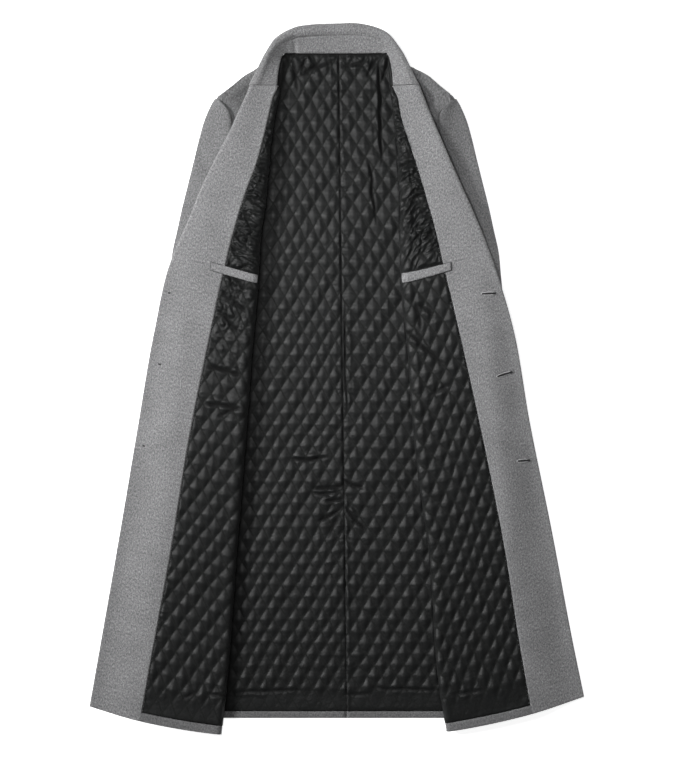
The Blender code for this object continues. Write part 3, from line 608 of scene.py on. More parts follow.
def centre_seam(y: np.ndarray) -> np.ndarray:
    """Place of the centre-back seam at a height."""
    share = (NAPE_Y - y) / (NAPE_Y - BACK_HEM_Y)
    return CENTRE_SEAM_TOP_X + (CENTRE_SEAM_HEM_X - CENTRE_SEAM_TOP_X) * share


def neck_raise(x: np.ndarray, y: np.ndarray) -> np.ndarray:
    """Lift of the back over the collar's fall, which lies under the neck."""
    across = ease((COLLAR_RAISE_HALF + 22.0 - np.abs(x)) / 18.0)
    return COLLAR_RAISE * ease((y - 505.0) / 34.0) * across


def unit(vectors: np.ndarray) -> np.ndarray:
    """Vectors along the last axis, made one long."""
    return vectors / np.linalg.norm(vectors, axis=-1, keepdims=True)


def edge_drop(distance: np.ndarray, radius: float) -> np.ndarray:
    """How far a rounded edge falls below its face at a distance from the edge."""
    inside = np.clip(1.0 - distance / radius, 0.0, 1.0)
    return radius * (1.0 - np.sqrt(1.0 - inside ** 2))


def edge_shares(count: int, width: float, rim: float) -> np.ndarray:
    """Rising shares across a width, with two close lines at each end, where the edge is rounded."""
    close = np.array([0.0, 0.3, 1.0]) * rim / width
    return np.concatenate([close[:2], np.linspace(close[2], 1 - close[2], count), 1 - close[1::-1]])


def to_linear(code: str) -> tuple[float, float, float, float]:
    """Linear colour with alpha of an sRGB hex value such as "#8a8a8c"."""
    channels = [int(code[at:at + 2], 16) / 255 for at in (1, 3, 5)]
    linear = [c / 12.92 if c <= 0.04045 else ((c + 0.055) / 1.055) ** 2.4 for c in channels]
    return (linear[0], linear[1], linear[2], 1.0)


def new_object(name: str, data: Any) -> bpy.types.Object:
    """Object at the origin, linked to the scene."""
    item = bpy.data.objects.new(name, data)
    bpy.context.scene.collection.objects.link(item)
    return item


def fill(tree: bpy.types.NodeTree, node: bpy.types.Node, values: dict[Any, Any]) -> None:
    """Set a node's attributes and inputs, and link the inputs whose value is a socket.

    Args:
        tree: tree that holds the node.
        node: the node.
        values: attributes by name, inputs by name or number.
    """
    for name, value in values.items():
        if isinstance(value, bpy.types.NodeSocket):
            tree.links.new(value, node.inputs[name])
        elif isinstance(name, str) and hasattr(node, name):
            setattr(node, name, value)
        else:
            node.inputs[name].default_value = value


def add_node(tree: bpy.types.NodeTree, kind: str, values: dict[Any, Any] | None = None) -> bpy.types.Node:
    """Add a node with its settings and links."""
    node = tree.nodes.new(kind)
    fill(tree, node, values or {})
    return node


def math_node(tree: bpy.types.NodeTree, operation: str, *terms: Any) -> bpy.types.NodeSocket:
    """One operation on numbers and sockets."""
    return add_node(tree, "ShaderNodeMath", {"operation": operation, **dict(enumerate(terms))}).outputs[0]


def noise_node(tree: bpy.types.NodeTree, size: float, place: bpy.types.NodeSocket, detail: float = 2.0,
               rough: float = 0.5) -> bpy.types.NodeSocket:
    """Noise of a size in millimetres."""
    return add_node(tree, "ShaderNodeTexNoise", {"Scale": 1 / (size * MM), "Detail": detail,
                                                 "Roughness": rough, "Vector": place}).outputs["Fac"]


def remap(tree: bpy.types.NodeTree, value: bpy.types.NodeSocket, source: tuple[float, float],
          target: tuple[float, float]) -> bpy.types.NodeSocket:
    """Value moved from one range to another and held there."""
    return add_node(tree, "ShaderNodeMapRange", {"From Min": source[0], "From Max": source[1], "To Min": target[0],
                                                 "To Max": target[1], "Value": value}).outputs["Result"]


def mix_colour(tree: bpy.types.NodeTree, share: bpy.types.NodeSocket, first: Any, second: Any) -> bpy.types.NodeSocket:
    """Blend of two colours, each a socket or a linear value."""
    return add_node(tree, "ShaderNodeMix", {"data_type": "RGBA", 0: share, 6: first, 7: second}).outputs[2]


def colour_ramp(tree: bpy.types.NodeTree, share: bpy.types.NodeSocket,
                stops: Sequence[tuple[float, str]]) -> bpy.types.NodeSocket:
    """Colours along a share, from the first stop to the last."""
    ramp = add_node(tree, "ShaderNodeValToRGB", {"Fac": share})
    marks = ramp.color_ramp.elements
    for mark, (place, code) in zip((marks[0], marks[1]), (stops[0], stops[-1])):
        mark.position = place
        mark.color = to_linear(code)
    for place, code in stops[1:-1]:
        marks.new(place).color = to_linear(code)
    return ramp.outputs["Color"]


def bump_node(tree: bpy.types.NodeTree, height: bpy.types.NodeSocket, strength: float,
              distance: float) -> bpy.types.NodeSocket:
    """Normal of a fine relief."""
    return add_node(tree, "ShaderNodeBump", {"Strength": strength, "Distance": distance,
                                             "Height": height}).outputs["Normal"]


def cloth_place(tree: bpy.types.NodeTree, name: str) -> bpy.types.NodeSocket:
    """A UV map of the cloth: its cut or its quilting lattice."""
    return add_node(tree, "ShaderNodeUVMap", {"uv_map": name}).outputs["UV"]


def object_place(tree: bpy.types.NodeTree) -> bpy.types.NodeSocket:
    """Object coordinates."""
    return add_node(tree, "ShaderNodeTexCoord").outputs["Object"]


def painted_shade_share(tree: bpy.types.NodeTree) -> bpy.types.NodeSocket:
    """The cloth's attribute of painted shade, from 0 to 1."""
    return add_node(tree, "ShaderNodeAttribute", {"attribute_name": "sunk"}).outputs["Fac"]


def start_finish(name: str) -> tuple[bpy.types.Material, bpy.types.NodeTree, bpy.types.Node]:
    """New material with its node tree and its shader."""
    made = bpy.data.materials.new(name)
    made.use_nodes = True
    return made, made.node_tree, made.node_tree.nodes["Principled BSDF"]


@dataclass(frozen=True)
class MelangeWool:
    """Wool and cashmere overcoating in grey melange: dyed and white fibres carded together, milled and raised.

    The eye sees a salt-and-pepper speckle, a soft nap that runs down the cloth and no gloss, only a pale
    sheen at grazing angles.
    """

    name: str = "melange_wool"
    dark: str = "#484849"
    middle: str = "#747475"
    light: str = "#a2a2a3"
    # How much darker the painted shade makes the wool: at the hems, at the shoulders and sleeves beside the lapels and
    # at the left armhole seam
    press_and_shade: float = 0.6
    # A fibre tuft is under 1 mm, drawn at about 2.4 mm so that it shows in a render of the whole coat
    tuft: float = 2.4
    fibre: float = 0.9
    fibre_share: float = 0.35
    patch: float = 55.0
    nap_stretch: float = 0.62

    def material(self) -> bpy.types.Material:
        """Build the material on the cut's UV map, so that the nap runs down each piece."""
        made, tree, shader = start_finish(self.name)
        place = cloth_place(tree, "cut")
        nap = add_node(tree, "ShaderNodeMapping", {"Scale": (1.0, self.nap_stretch, 1.0), "Vector": place})
        tufts = noise_node(tree, self.tuft, nap.outputs["Vector"], 3.0, 0.7)
        fibres = noise_node(tree, self.fibre, nap.outputs["Vector"])
        patches = noise_node(tree, self.patch, place, 3.0)
        speckle = add_node(tree, "ShaderNodeMix", {"data_type": "FLOAT", 0: self.fibre_share, 2: tufts,
                                                   3: fibres}).outputs[0]
        colour = colour_ramp(tree, speckle, ((0.34, self.dark), (0.5, self.middle), (0.68, self.light)))
        worn = remap(tree, patches, (0.3, 0.7), (0.9, 1.08))
        # Painted shade: the wool darkens by the painted shade attribute
        kept = math_node(tree, "MULTIPLY_ADD", painted_shade_share(tree), -self.press_and_shade, 1.0)
        shade = add_node(tree, "ShaderNodeVectorMath", {"operation": "SCALE", 0: colour,
                                                        "Scale": math_node(tree, "MULTIPLY", worn, kept)})
        fill(tree, shader, {"Base Color": shade.outputs["Vector"], "Normal": bump_node(tree, speckle, 0.55, 0.0007),
                            "Roughness": 0.95, "IOR": 1.45, "Specular IOR Level": 0.15, "Sheen Weight": 0.18,
                            "Sheen Roughness": 0.55})
        return made


@dataclass(frozen=True)
class QuiltedSatin:
    """Polyester satin lining, woven with long floats and quilted on thin wadding.

    The eye sees a black cloth with a soft broken gloss on each puff, spread sideways by the long floats,
    stitch valleys darkened with painted shade, short threads in them and fine puckers beside the stitches.
    """

    name: str = "quilted_satin"
    cloth: str = "#0e0f0f"
    lit: str = "#141515"
    valley_shade: str = "#060706"
    thread: str = "#1c1e1c"
    # Colour of the painted shade: seam ditches, the neck edge, crease troughs, crumple valleys and the shadow beside
    # the left fold darken to it
    seam: str = "#020202"
    # Weave floats are about 0.3 mm, drawn at 1.2 mm
    weave: float = 1.2
    weave_depth: float = 0.00012
    pucker: float = 7.0
    pucker_depth: float = 0.0016
    # Stitches to a diamond's side, the gap between two, and half widths of thread and of the valley's painted shade in
    # diamonds
    stitches: float = 7.0
    stitch_gap: float = 0.3
    thread_half: float = 0.014
    valley_range: tuple[float, float] = (0.025, 0.09)
    valley_shade_share: float = 0.75
    gloss: tuple[float, float] = (0.46, 0.56)
    dulled: float = 0.5

    def material(self) -> bpy.types.Material:
        """Build the material: weave on the cut's UV map, stitches on the lattice's."""
        made, tree, shader = start_finish(self.name)
        place = cloth_place(tree, "cut")
        parts = add_node(tree, "ShaderNodeSeparateXYZ", {0: cloth_place(tree, "lattice")}).outputs
        weave = noise_node(tree, self.weave, place)
        puckers = noise_node(tree, self.pucker, place, 3.0, 0.6)
        lines = []
        threads = []
        for one, other in (("X", "Y"), ("Y", "X")):
            away = math_node(tree, "PINGPONG", parts[one], 0.5)
            dash = math_node(tree, "FRACT", math_node(tree, "MULTIPLY", parts[other], self.stitches))
            drawn = math_node(tree, "GREATER_THAN", dash, self.stitch_gap)
            narrow = math_node(tree, "LESS_THAN", away, self.thread_half)
            threads.append(math_node(tree, "MULTIPLY", narrow, drawn))
            lines.append(remap(tree, away, self.valley_range, (1.0, 0.0)))
        # Painted shade along the stitch lines: the satin darkens towards the valley shade colour
        deep = math_node(tree, "MULTIPLY", math_node(tree, "MAXIMUM", *lines), self.valley_shade_share)
        cloth = mix_colour(tree, weave, to_linear(self.cloth), to_linear(self.lit))
        sewn = mix_colour(tree, deep, cloth, to_linear(self.valley_shade))
        sewn = mix_colour(tree, math_node(tree, "MAXIMUM", *threads), sewn, to_linear(self.thread))
        # Painted shade: the attribute darkens the satin towards the seam colour
        sunk = painted_shade_share(tree)
        colour = mix_colour(tree, sunk, sewn, to_linear(self.seam))
        floats = add_node(tree, "ShaderNodeTangent", {"direction_type": "UV_MAP", "uv_map": "cut"})
        low = math_node(tree, "MAXIMUM", sunk, deep)
        dull = math_node(tree, "MULTIPLY_ADD", low, self.dulled, remap(tree, puckers, (0.3, 0.7), self.gloss))
        beside = math_node(tree, "MULTIPLY", puckers, self.pucker_depth)
        height = math_node(tree, "MULTIPLY_ADD", weave, self.weave_depth, beside)
        fill(tree, shader, {"Base Color": colour, "Tangent": floats.outputs["Tangent"], "Roughness": dull,
                            "Normal": bump_node(tree, height, 0.6, 1.0), "Anisotropic": 0.4, "IOR": 1.5,
                            "Specular IOR Level": 0.23, "Sheen Weight": 0.02})
        return made


@dataclass(frozen=True)
class SilkThread:
    """Twisted buttonhole silk, a dull gloss along each stitch with a fine ply."""

    name: str
    colour: str
    ply: float = 0.5
    contrast: float = 0.3

    def material(self) -> bpy.types.Material:
        """Build the material on Object coordinates."""
        made, tree, shader = start_finish(self.name)
        base = to_linear(self.colour)[:3]
        low = tuple(c * (1.0 - self.contrast) for c in base) + (1.0,)
        high = tuple(min(1.0, c * (1.0 + self.contrast)) for c in base) + (1.0,)
        twist = noise_node(tree, self.ply, object_place(tree), 1.0)
        fill(tree, shader, {"Base Color": mix_colour(tree, twist, low, high), "Roughness": 0.6})
        return made


@dataclass(frozen=True)
class BuffaloHorn:
    """Turned and polished horn: dark brown with pale drawn-out streaks and a soft polish."""

    name: str = "polished_horn"
    dark: str = "#1b1613"
    pale: str = "#54463a"
    streak: float = 5.0

    def material(self) -> bpy.types.Material:
        """Build the material on Object coordinates, streaks drawn out along the coat."""
        made, tree, shader = start_finish(self.name)
        drawn = add_node(tree, "ShaderNodeMapping", {"Scale": (1.0, 0.3, 1.0), "Vector": object_place(tree)})
        grain = noise_node(tree, self.streak, drawn.outputs["Vector"], 5.0)
        fill(tree, shader, {"Base Color": colour_ramp(tree, grain, ((0.42, self.dark), (0.75, self.pale))),
                            "Roughness": remap(tree, grain, (0.0, 1.0), (0.26, 0.42)), "IOR": 1.54})
        return made


@dataclass(frozen=True)
class PaperFloor:
    """Matt white background paper, with the faint cloudiness of its fibres."""

    name: str = "white_paper"
    bright: str = "#fbfbfb"
    soft: str = "#f5f5f5"
    cloud: float = 200.0
    glow: float = 0.8

    def material(self) -> bpy.types.Material:
        """Build the material on Object coordinates."""
        made, tree, shader = start_finish(self.name)
        cloud = noise_node(tree, self.cloud, object_place(tree))
        shade = mix_colour(tree, cloud, to_linear(self.bright), to_linear(self.soft))
        fill(tree, shader, {"Base Color": shade, "Roughness": 0.9, "Emission Color": (1.0, 1.0, 1.0, 1.0),
                            "Emission Strength": self.glow})
        return made


@dataclass(frozen=True)
class Finishes:
    """Materials of the coat, made once."""

    wool: bpy.types.Material
    lining: bpy.types.Material
    pale_silk: bpy.types.Material
    grey_silk: bpy.types.Material
    black_silk: bpy.types.Material
    horn: bpy.types.Material

    @classmethod
    def made(cls) -> Finishes:
        """Make every material."""
        return cls(MelangeWool().material(), QuiltedSatin().material(),
                   SilkThread("pale_silk", "#b4b4b5").material(), SilkThread("grey_silk", "#505151").material(),
                   SilkThread("black_silk", "#0d0d0e").material(), BuffaloHorn().material())


@dataclass
class ClothGrid:
    """A wall of cloth on a grid: outer and inner points, its place on the flat cut and on the quilting.

    Cells that are left out and the painted shade, from 0 to 1, that darkens seams, creases, hems and places in shadow
    are given where there are any.
    """

    outer: np.ndarray
    inner: np.ndarray
    cut: np.ndarray
    lattice: np.ndarray | None = None
    cells: np.ndarray | None = None
    sunk: np.ndarray | None = None

    def faces(self) -> tuple[np.ndarray, int]:
        """Cells of both faces and of the rim, facing out.

        Returns:
            Corner numbers of every cell, and how many of them belong to the two faces.
        """
        rows, columns = self.outer.shape[:2]
        count = rows * columns
        numbers = np.arange(count).reshape(rows, columns)
        kept = np.ones((rows - 1, columns - 1), bool) if self.cells is None else self.cells
        quads = np.stack([numbers[:-1, :-1], numbers[:-1, 1:], numbers[1:, 1:], numbers[1:, :-1]], axis=-1)
        front = quads[kept]
        spread = np.pad(kept, 1)
        rims = []
        sides = ((spread[:-2, 1:-1], 0, 1), (spread[1:-1, 2:], 1, 2), (spread[2:, 1:-1], 2, 3),
                 (spread[1:-1, :-2], 3, 0))
        for beside, start, end in sides:
            bare = quads[kept & ~beside]
            a = bare[:, start]
            b = bare[:, end]
            rims.append(np.stack([b, a, a + count, b + count], axis=-1))
        both = np.concatenate([front, front[:, ::-1] + count])
        every = np.concatenate([both] + rims)
        points = self.outer.reshape(-1, 3)
        one = points[front[:, 2]] - points[front[:, 0]]
        two = points[front[:, 3]] - points[front[:, 1]]
        wall = points[front[:, 0]] - self.inner.reshape(-1, 3)[front[:, 0]]
        if (np.cross(one, two) * wall).sum() < 0:
            every = every[:, ::-1]
        return every, len(both)

    def make(self, name: str, material: bpy.types.Material) -> bpy.types.Object:
        """Write the wall as an object.

        Args:
            name: the object's name.
            material: its finish.

        Returns:
            The object, at the origin.
        """
        faces, smooth = self.faces()
        points = np.concatenate([self.outer.reshape(-1, 3), self.inner.reshape(-1, 3)])
        used = np.unique(faces)
        renumber = np.zeros(len(points), int)
        renumber[used] = np.arange(len(used))
        mesh = bpy.data.meshes.new(name)
        mesh.from_pydata(((points[used] - BOX_MIDDLE) * MM).tolist(), [], renumber[faces].tolist())
        mesh.polygons.foreach_set("use_smooth", np.arange(len(faces)) < smooth)
        for layer, spots, scale in (("cut", self.cut, MM), ("lattice", self.lattice, 1.0)):
            if spots is not None:
                flat = np.concatenate([spots.reshape(-1, 2)] * 2)[faces.ravel()]
                mesh.uv_layers.new(name=layer).data.foreach_set("uv", (flat * scale).ravel())
        deep = np.zeros(len(points)) if self.sunk is None else np.concatenate([self.sunk.ravel()] * 2)
        mesh.attributes.new("sunk", "FLOAT", "POINT").data.foreach_set("value", deep[used])
        mesh.materials.append(material)
        mesh.update()
        return new_object(name, mesh)


def enter_cloth(grid: ClothGrid, node: str, slot: Slot, finishes: Finishes) -> None:
    """Make a cloth piece and hand it to the frame in place of its solid.

    Args:
        grid: the cloth.
        node: solid that it stands for.
        slot: material slot that it takes its finish from.
        finishes: the materials.
    """
    item = grid.make(node + "_cloth", finishes.wool if slot is Slot.WOOL else finishes.lining)
    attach(item, "root")
    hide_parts(node)


@dataclass(frozen=True)
class StitchTree:
    """Geometry Nodes tree that lays short threads along a path, in line with it or across it."""

    name: str = "stitch_run"

    def tree(self) -> bpy.types.NodeTree:
        """Build the tree once, with named inputs for its sizes.

        Returns:
            The tree.
        """
        found = bpy.data.node_groups.get(self.name)
        if found:
            return found
        tree = bpy.data.node_groups.new(self.name, "GeometryNodeTree")
        sockets = (("Geometry", "Geometry"), ("Pitch", "Float"), ("Stitch Length", "Float"),
                   ("Thread Radius", "Float"), ("Across", "Bool"), ("Thread", "Material"))
        for word, kind in sockets:
            tree.interface.new_socket(word, in_out="INPUT", socket_type="NodeSocket" + kind)
        tree.interface.new_socket("Geometry", in_out="OUTPUT", socket_type="NodeSocketGeometry")
        given = add_node(tree, "NodeGroupInput").outputs
        curve = add_node(tree, "GeometryNodeMeshToCurve", {"Mesh": given["Geometry"]})
        even = add_node(tree, "GeometryNodeResampleCurve", {"mode": "LENGTH", "Curve": curve.outputs["Curve"],
                                                            "Length": given["Pitch"]})
        run = add_node(tree, "GeometryNodeInputTangent").outputs["Tangent"]
        turned = add_node(tree, "ShaderNodeVectorMath", {"operation": "CROSS_PRODUCT", 0: run, 1: tuple(UP)})
        choice = add_node(tree, "GeometryNodeSwitch", {"input_type": "VECTOR", "Switch": given["Across"], "False": run,
                                                       "True": turned.outputs["Vector"]})
        aim = add_node(tree, "FunctionNodeAlignRotationToVector", {"axis": "Z", "Vector": choice.outputs["Output"]})
        half = math_node(tree, "MULTIPLY", given["Stitch Length"], 0.5)
        size = add_node(tree, "ShaderNodeCombineXYZ", {"X": given["Thread Radius"], "Y": given["Thread Radius"],
                                                       "Z": half})
        thread = add_node(tree, "GeometryNodeMeshIcoSphere", {"Radius": 1.0, "Subdivisions": 1})
        sewn = add_node(tree, "GeometryNodeInstanceOnPoints",
                        {"Points": even.outputs["Curve"], "Instance": thread.outputs["Mesh"],
                         "Rotation": aim.outputs["Rotation"], "Scale": size.outputs["Vector"]})
        real = add_node(tree, "GeometryNodeRealizeInstances", {"Geometry": sewn.outputs["Instances"]})
        dyed = add_node(tree, "GeometryNodeSetMaterial", {"Geometry": real.outputs["Geometry"],
                                                          "Material": given["Thread"]})
        add_node(tree, "NodeGroupOutput", {"Geometry": dyed.outputs["Geometry"]})
        return tree

    def sew(self, name: str, paths: Sequence[np.ndarray], run: StitchRun, material: bpy.types.Material,
            slot: Slot) -> None:
        """Lay stitches along paths as a plain mesh and hand them to the frame.

        Args:
            name: the object's name.
            paths: lines of points in millimetres.
            run: the stitches' sizes.
            material: the thread's finish.
            slot: material slot of the piece that they are sewn to; not used.
        """
        points: list[list[float]] = []
        edges: list[tuple[int, int]] = []
        for path in paths:
            first = len(points)
            points.extend(((path - BOX_MIDDLE) * MM).tolist())
            edges.extend((at, at + 1) for at in range(first, len(points) - 1))
        mesh = bpy.data.meshes.new(name + "_path")
        mesh.from_pydata(points, edges, [])
        path_item = new_object(name + "_path", mesh)
        modifier = path_item.modifiers.new(self.name, "NODES")
        tree = self.tree()
        modifier.node_group = tree
        values = {"Pitch": run.pitch * MM, "Stitch Length": run.length * MM, "Thread Radius": run.radius * MM,
                  "Across": run.across, "Thread": material}
        for socket in tree.interface.items_tree:
            if socket.in_out == "INPUT" and socket.name in values:
                modifier[socket.identifier] = values[socket.name]
        graph = bpy.context.evaluated_depsgraph_get()
        made = bpy.data.meshes.new_from_object(path_item.evaluated_get(graph))
        path_item.modifiers.remove(modifier)
        bpy.data.objects.remove(path_item, do_unlink=True)
        made.name = name
        made.materials.clear()
        made.materials.append(material)
        made.shade_smooth()
        item = new_object(name, made)
        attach(item, "root")
        LOG.info("%s: %d faces", item.name, len(item.data.polygons))


@dataclass(frozen=True)
class FrontForm:
    """One turned-back front: its table, its side of the coat and the surface that its layers share."""

    side: Side
    rows: tuple[FrontRow, ...]
    tilt: float
    lapel_rise: float

    @property
    def hem(self) -> float:
        """Distance down to the hem."""
        return self.rows[-1].down

    def column(self, name: str, down: np.ndarray) -> np.ndarray:
        """Value of one table column at a distance down."""
        return along_table(self.rows, "down", name, down)

    def radius(self, down: np.ndarray) -> np.ndarray:
        """Radius of the turn at the fold."""
        return self.column("radius", down)

    def rolled(self, down: np.ndarray) -> np.ndarray:
        """Share of the lapel's roll at a distance down, none below the break."""
        return ease((BREAK_DOWN + BREAK_FADE - np.maximum(down, BREAK_DOWN)) / BREAK_FADE)

    def reach(self, down: np.ndarray) -> np.ndarray:
        """Distance from the fold to the start of the turned edge."""
        return self.column("edge", down) - SEAM_GAP - WOOL - (ROLL_OUT - SEAM_GAP - WOOL) * self.rolled(down)

    def across(self, down: np.ndarray, plan: np.ndarray) -> np.ndarray:
        """Distance over the cloth from the fold, for a plan distance on the upper leg."""
        radius = self.radius(down)
        part = np.arccos(np.clip(1.0 - plan / radius, -1.0, 1.0))
        return np.where(plan >= radius, math.pi * radius / 2 + plan - radius, radius * part)

    def upper_angle(self, down: np.ndarray) -> np.ndarray:
        """Tilt of a section of the upper leg, level at the gorge."""
        return self.tilt * ease((down - TILT_START) / TILT_RUN)

    def lower_angle(self, down: np.ndarray) -> np.ndarray:
        """Tilt of a section of the lower leg."""
        return LOWER_TILT * ease((down - LOWER_TILT_START) / (self.hem - LOWER_TILT_START))

    def side_reach(self, down: np.ndarray) -> np.ndarray:
        """Distance from the fold to the side seam, the armhole or the shoulder."""
        fold = self.column("fold", down)
        y = NAPE_Y - down
        angle = self.lower_angle(down)
        out = body_half(y)
        for _ in range(6):
            out = body_half(y + (out - fold) * np.tan(angle))
        return (out - fold) / np.cos(angle)

    def upper_z(self, down: np.ndarray, plan: np.ndarray) -> np.ndarray:
        """Height of the upper leg, which falls to the front edge past the layers under it."""
        radius = self.radius(down)
        top = LOWER_Z + 2 * radius
        end = self.column("edge", down)
        start = np.maximum(np.minimum(self.side_reach(down) - 12.0, end - 40.0), radius)
        seam = self.column("seam", down)
        curl = ease((plan - seam) / (end - seam)) * ease((BREAK_DOWN + 40.0 - down) / 270.0)
        flat = top + (self.column("edge_z", down) - top) * ease((plan - start) / (end - start))
        return flat + self.lapel_rise * curl

    def lower_z(self, down: np.ndarray, plan: np.ndarray) -> np.ndarray:
        """Height of the lower leg, which falls to the side seam."""
        width = self.side_reach(down)
        return SIDE_SEAM_Z + (LOWER_Z - SIDE_SEAM_Z) * ease((width - plan) / (0.26 * width))

    def base(self, down: np.ndarray, over: np.ndarray) -> np.ndarray:
        """Points of the shared surface.

        Args:
            down: distances down the coat.
            over: distances over the cloth from the fold, the lower leg negative.

        Returns:
            Points along the last axis.
        """
        down, over = np.broadcast_arrays(np.asarray(down, float), np.asarray(over, float))
        radius = self.radius(down)
        quarter = math.pi * radius / 2
        turn = np.clip(over / radius, -math.pi / 2, math.pi / 2)
        plan = radius * (1.0 - np.cos(turn)) + np.maximum(np.abs(over) - quarter, 0.0)
        bend = LOWER_Z + radius + radius * np.sin(turn)
        height = np.where(over <= -quarter, self.lower_z(down, plan), bend)
        height = np.where(over >= quarter, self.upper_z(down, plan), height)
        share = turn / math.pi + 0.5
        angle = self.lower_angle(down) * (1 - share) + self.upper_angle(down) * share
        part = np.minimum(1.0, plan / self.column("edge", down))
        bulge = HEM_BULGE * ease((down - self.hem + BULGE_RUN) / BULGE_RUN)
        low = np.where(over > 0, bulge * 4 * part * (1 - part), 0.0)
        x = self.side.value * (self.column("fold", down) + plan * np.cos(angle))
        y = NAPE_Y - down + plan * np.sin(angle) - low
        return np.stack([x, y, height], axis=-1)

    def normal(self, down: np.ndarray, over: np.ndarray) -> np.ndarray:
        """Directions out of the shared surface, to the lining's side."""
        along = self.base(down + 1.0, over) - self.base(down - 1.0, over)
        wide = self.base(down, over + 0.4) - self.base(down, over - 0.4)
        return unit(self.side.value * np.cross(along, wide))

    def place(self, down: np.ndarray, over: np.ndarray, lift: np.ndarray | float) -> np.ndarray:
        """Points of the shared surface, moved out."""
        return self.base(down, over) + np.asarray(lift)[..., None] * self.normal(down, over)


@dataclass
class QuiltedBack:
    """One half of the back: wool on the floor and quilted lining on it."""

    side: Side
    form: FrontForm
    finishes: Finishes
    diamond_wide: float
    grain_lean: float
    diamond_high: float = 41.0
    puff: float = 4.4
    hem_shade: float = 0.6
    hem_rise: float = 2.2
    lining_rows: int = 470
    lining_columns: int = 74
    # Half width of the neck, how far the lining goes on under the front and stays clear of the armhole
    neck_half: float = 84.0
    hidden_width: float = 40.0
    armhole_clear: float = 14.0

    def seam(self, y: np.ndarray, gap: float) -> np.ndarray:
        """Edge at the centre seam, open at the vent."""
        vent = VENT_OPEN / 2 if self.side is Side.RIGHT else 0.1 - VENT_OPEN / 2
        return centre_seam(y) + self.side.value * np.where(y > VENT_TOP_Y, gap, vent)

    def shell(self) -> ClothGrid:
        """Wool of the back, lifted at the neck over the collar's fall, with its hem turned up.

        Returns:
            The cloth.
        """
        hem_lines = np.array([13.0, 12.2, 11.6, 8.0, 4.0, 2.0, 1.0, 0.3, 0.0])
        y = np.concatenate([[580.0], np.linspace(576.6, BACK_HEM_Y + 16.0, 150), BACK_HEM_Y + hem_lines])
        share = np.linspace(0.0, 1.0, 40)
        inner_x = self.seam(y, SEAM_GAP / 2)
        outer_x = self.side.value * np.where(y > 575.0, 92.0, body_half(y))
        x = inner_x[:, None] + (outer_x - inner_x)[:, None] * share
        high = np.broadcast_to(y[:, None], x.shape)
        lift = neck_raise(x, high)
        strip = ease(LINING_HEM_Y - high)
        turned = self.hem_rise * strip - edge_drop(high - BACK_HEM_Y, self.hem_rise)
        wave = 0.3 * cloth_noise(x / 30.0, high / 30.0, 3) * strip
        corner = HEM_CORNER_RISE * ease((np.abs(x) - HEM_CORNER_START) / HEM_CORNER_RUN)
        spot = high + corner * ease((BACK_HEM_Y + 60.0 - high) / 60.0)
        outer = np.stack([x, spot, lift + WOOL + np.maximum(turned + wave, -1.6)], axis=-1)
        inner = np.stack([x, spot, lift], axis=-1)
        # Painted shade: the turned-up hem strip is darker
        sunk = self.hem_shade * ease(LINING_HEM_Y + 1.0 - high)
        return ClothGrid(outer, inner, np.stack([x, high], axis=-1), sunk=sunk)

    def lining(self) -> ClothGrid:
        """Quilted lining from the centre seam to a little way under the front.

        Returns:
            The cloth.
        """
        right = self.side is Side.RIGHT
        y = np.concatenate([[NAPE_Y + 1.5], np.linspace(NAPE_Y - 1.0, LINING_HEM_Y, self.lining_rows)])
        fold = np.maximum(self.form.column("fold", np.maximum(NAPE_Y - y, 20.0)), self.neck_half)
        end = np.minimum(fold + self.hidden_width, body_half(y) - self.armhole_clear)
        end = np.maximum(end, self.neck_half + 0.5)
        sewn, under = (0.0, -VENT_OPEN / 2) if right else (1.2, 2.6)
        middle = self.side.value * centre_seam(y) - sewn - (under - sewn) * ease((VENT_TOP_Y - y) / 12.0)
        seen = np.concatenate([[0.0, 0.004, 0.012], np.linspace(0.024, 1.0, self.lining_columns)])
        near = middle[:, None] + (np.minimum(fold, end) - middle)[:, None] * seen
        hidden = near[:, -1:] + (end - near[:, -1])[:, None] * np.array([0.05, 0.16, 0.4, 1.0])
        reach = np.concatenate([near, hidden], axis=1)
        x = self.side.value * reach
        high = np.broadcast_to(y[:, None], x.shape)
        from_seam = reach - middle[:, None]
        to_fold = fold[:, None] - reach
        folds = crease_height(BACK_CREASES, x, high)
        start = (CENTRE_SEAM_TOP_X + self.grain_lean * (NAPE_Y - high), NAPE_Y)
        lattice = quilt_lattice(x, high, start, (self.diamond_wide, self.diamond_high), 21)
        rise = self.lining_rise(x, high, from_seam, to_fold, folds, lattice)
        vent = ease((VENT_TOP_Y - high) / 30.0) * ease((9.0 - from_seam) / 8.0)
        over_seam = 0.8 * ease((3.0 - from_seam) / 1.4)
        lift = self.neck_lift(x, high, to_fold) + (np.maximum(2.0 * vent, over_seam) if right else 0.0)
        inner = np.stack([x, high, BACK_LINING_Z + lift], axis=-1)
        outer = np.stack([x, high, BACK_LINING_Z + lift + LINING + np.maximum(rise, -0.9)], axis=-1)
        # Painted shade in the centre seam's ditch, at the neck edge and in crease troughs, less where the right half
        # rises at the vent
        sunk = np.maximum(ease((2.6 - from_seam) / 2.2), ease((NAPE_Y - 3.0 - high) / -2.5))
        sunk = sunk * (1.0 - 0.8 * (vent if right else 0.0))
        sunk = np.maximum(sunk, trough(folds, 0.92))
        # Painted shadow of the left front's fold on the lining beside it
        if not right:
            sunk = np.maximum(sunk, 0.8 * ease((15.0 - to_fold) / 13.0))
        return ClothGrid(outer, inner, np.stack([x, high], axis=-1), lattice, sunk=sunk)

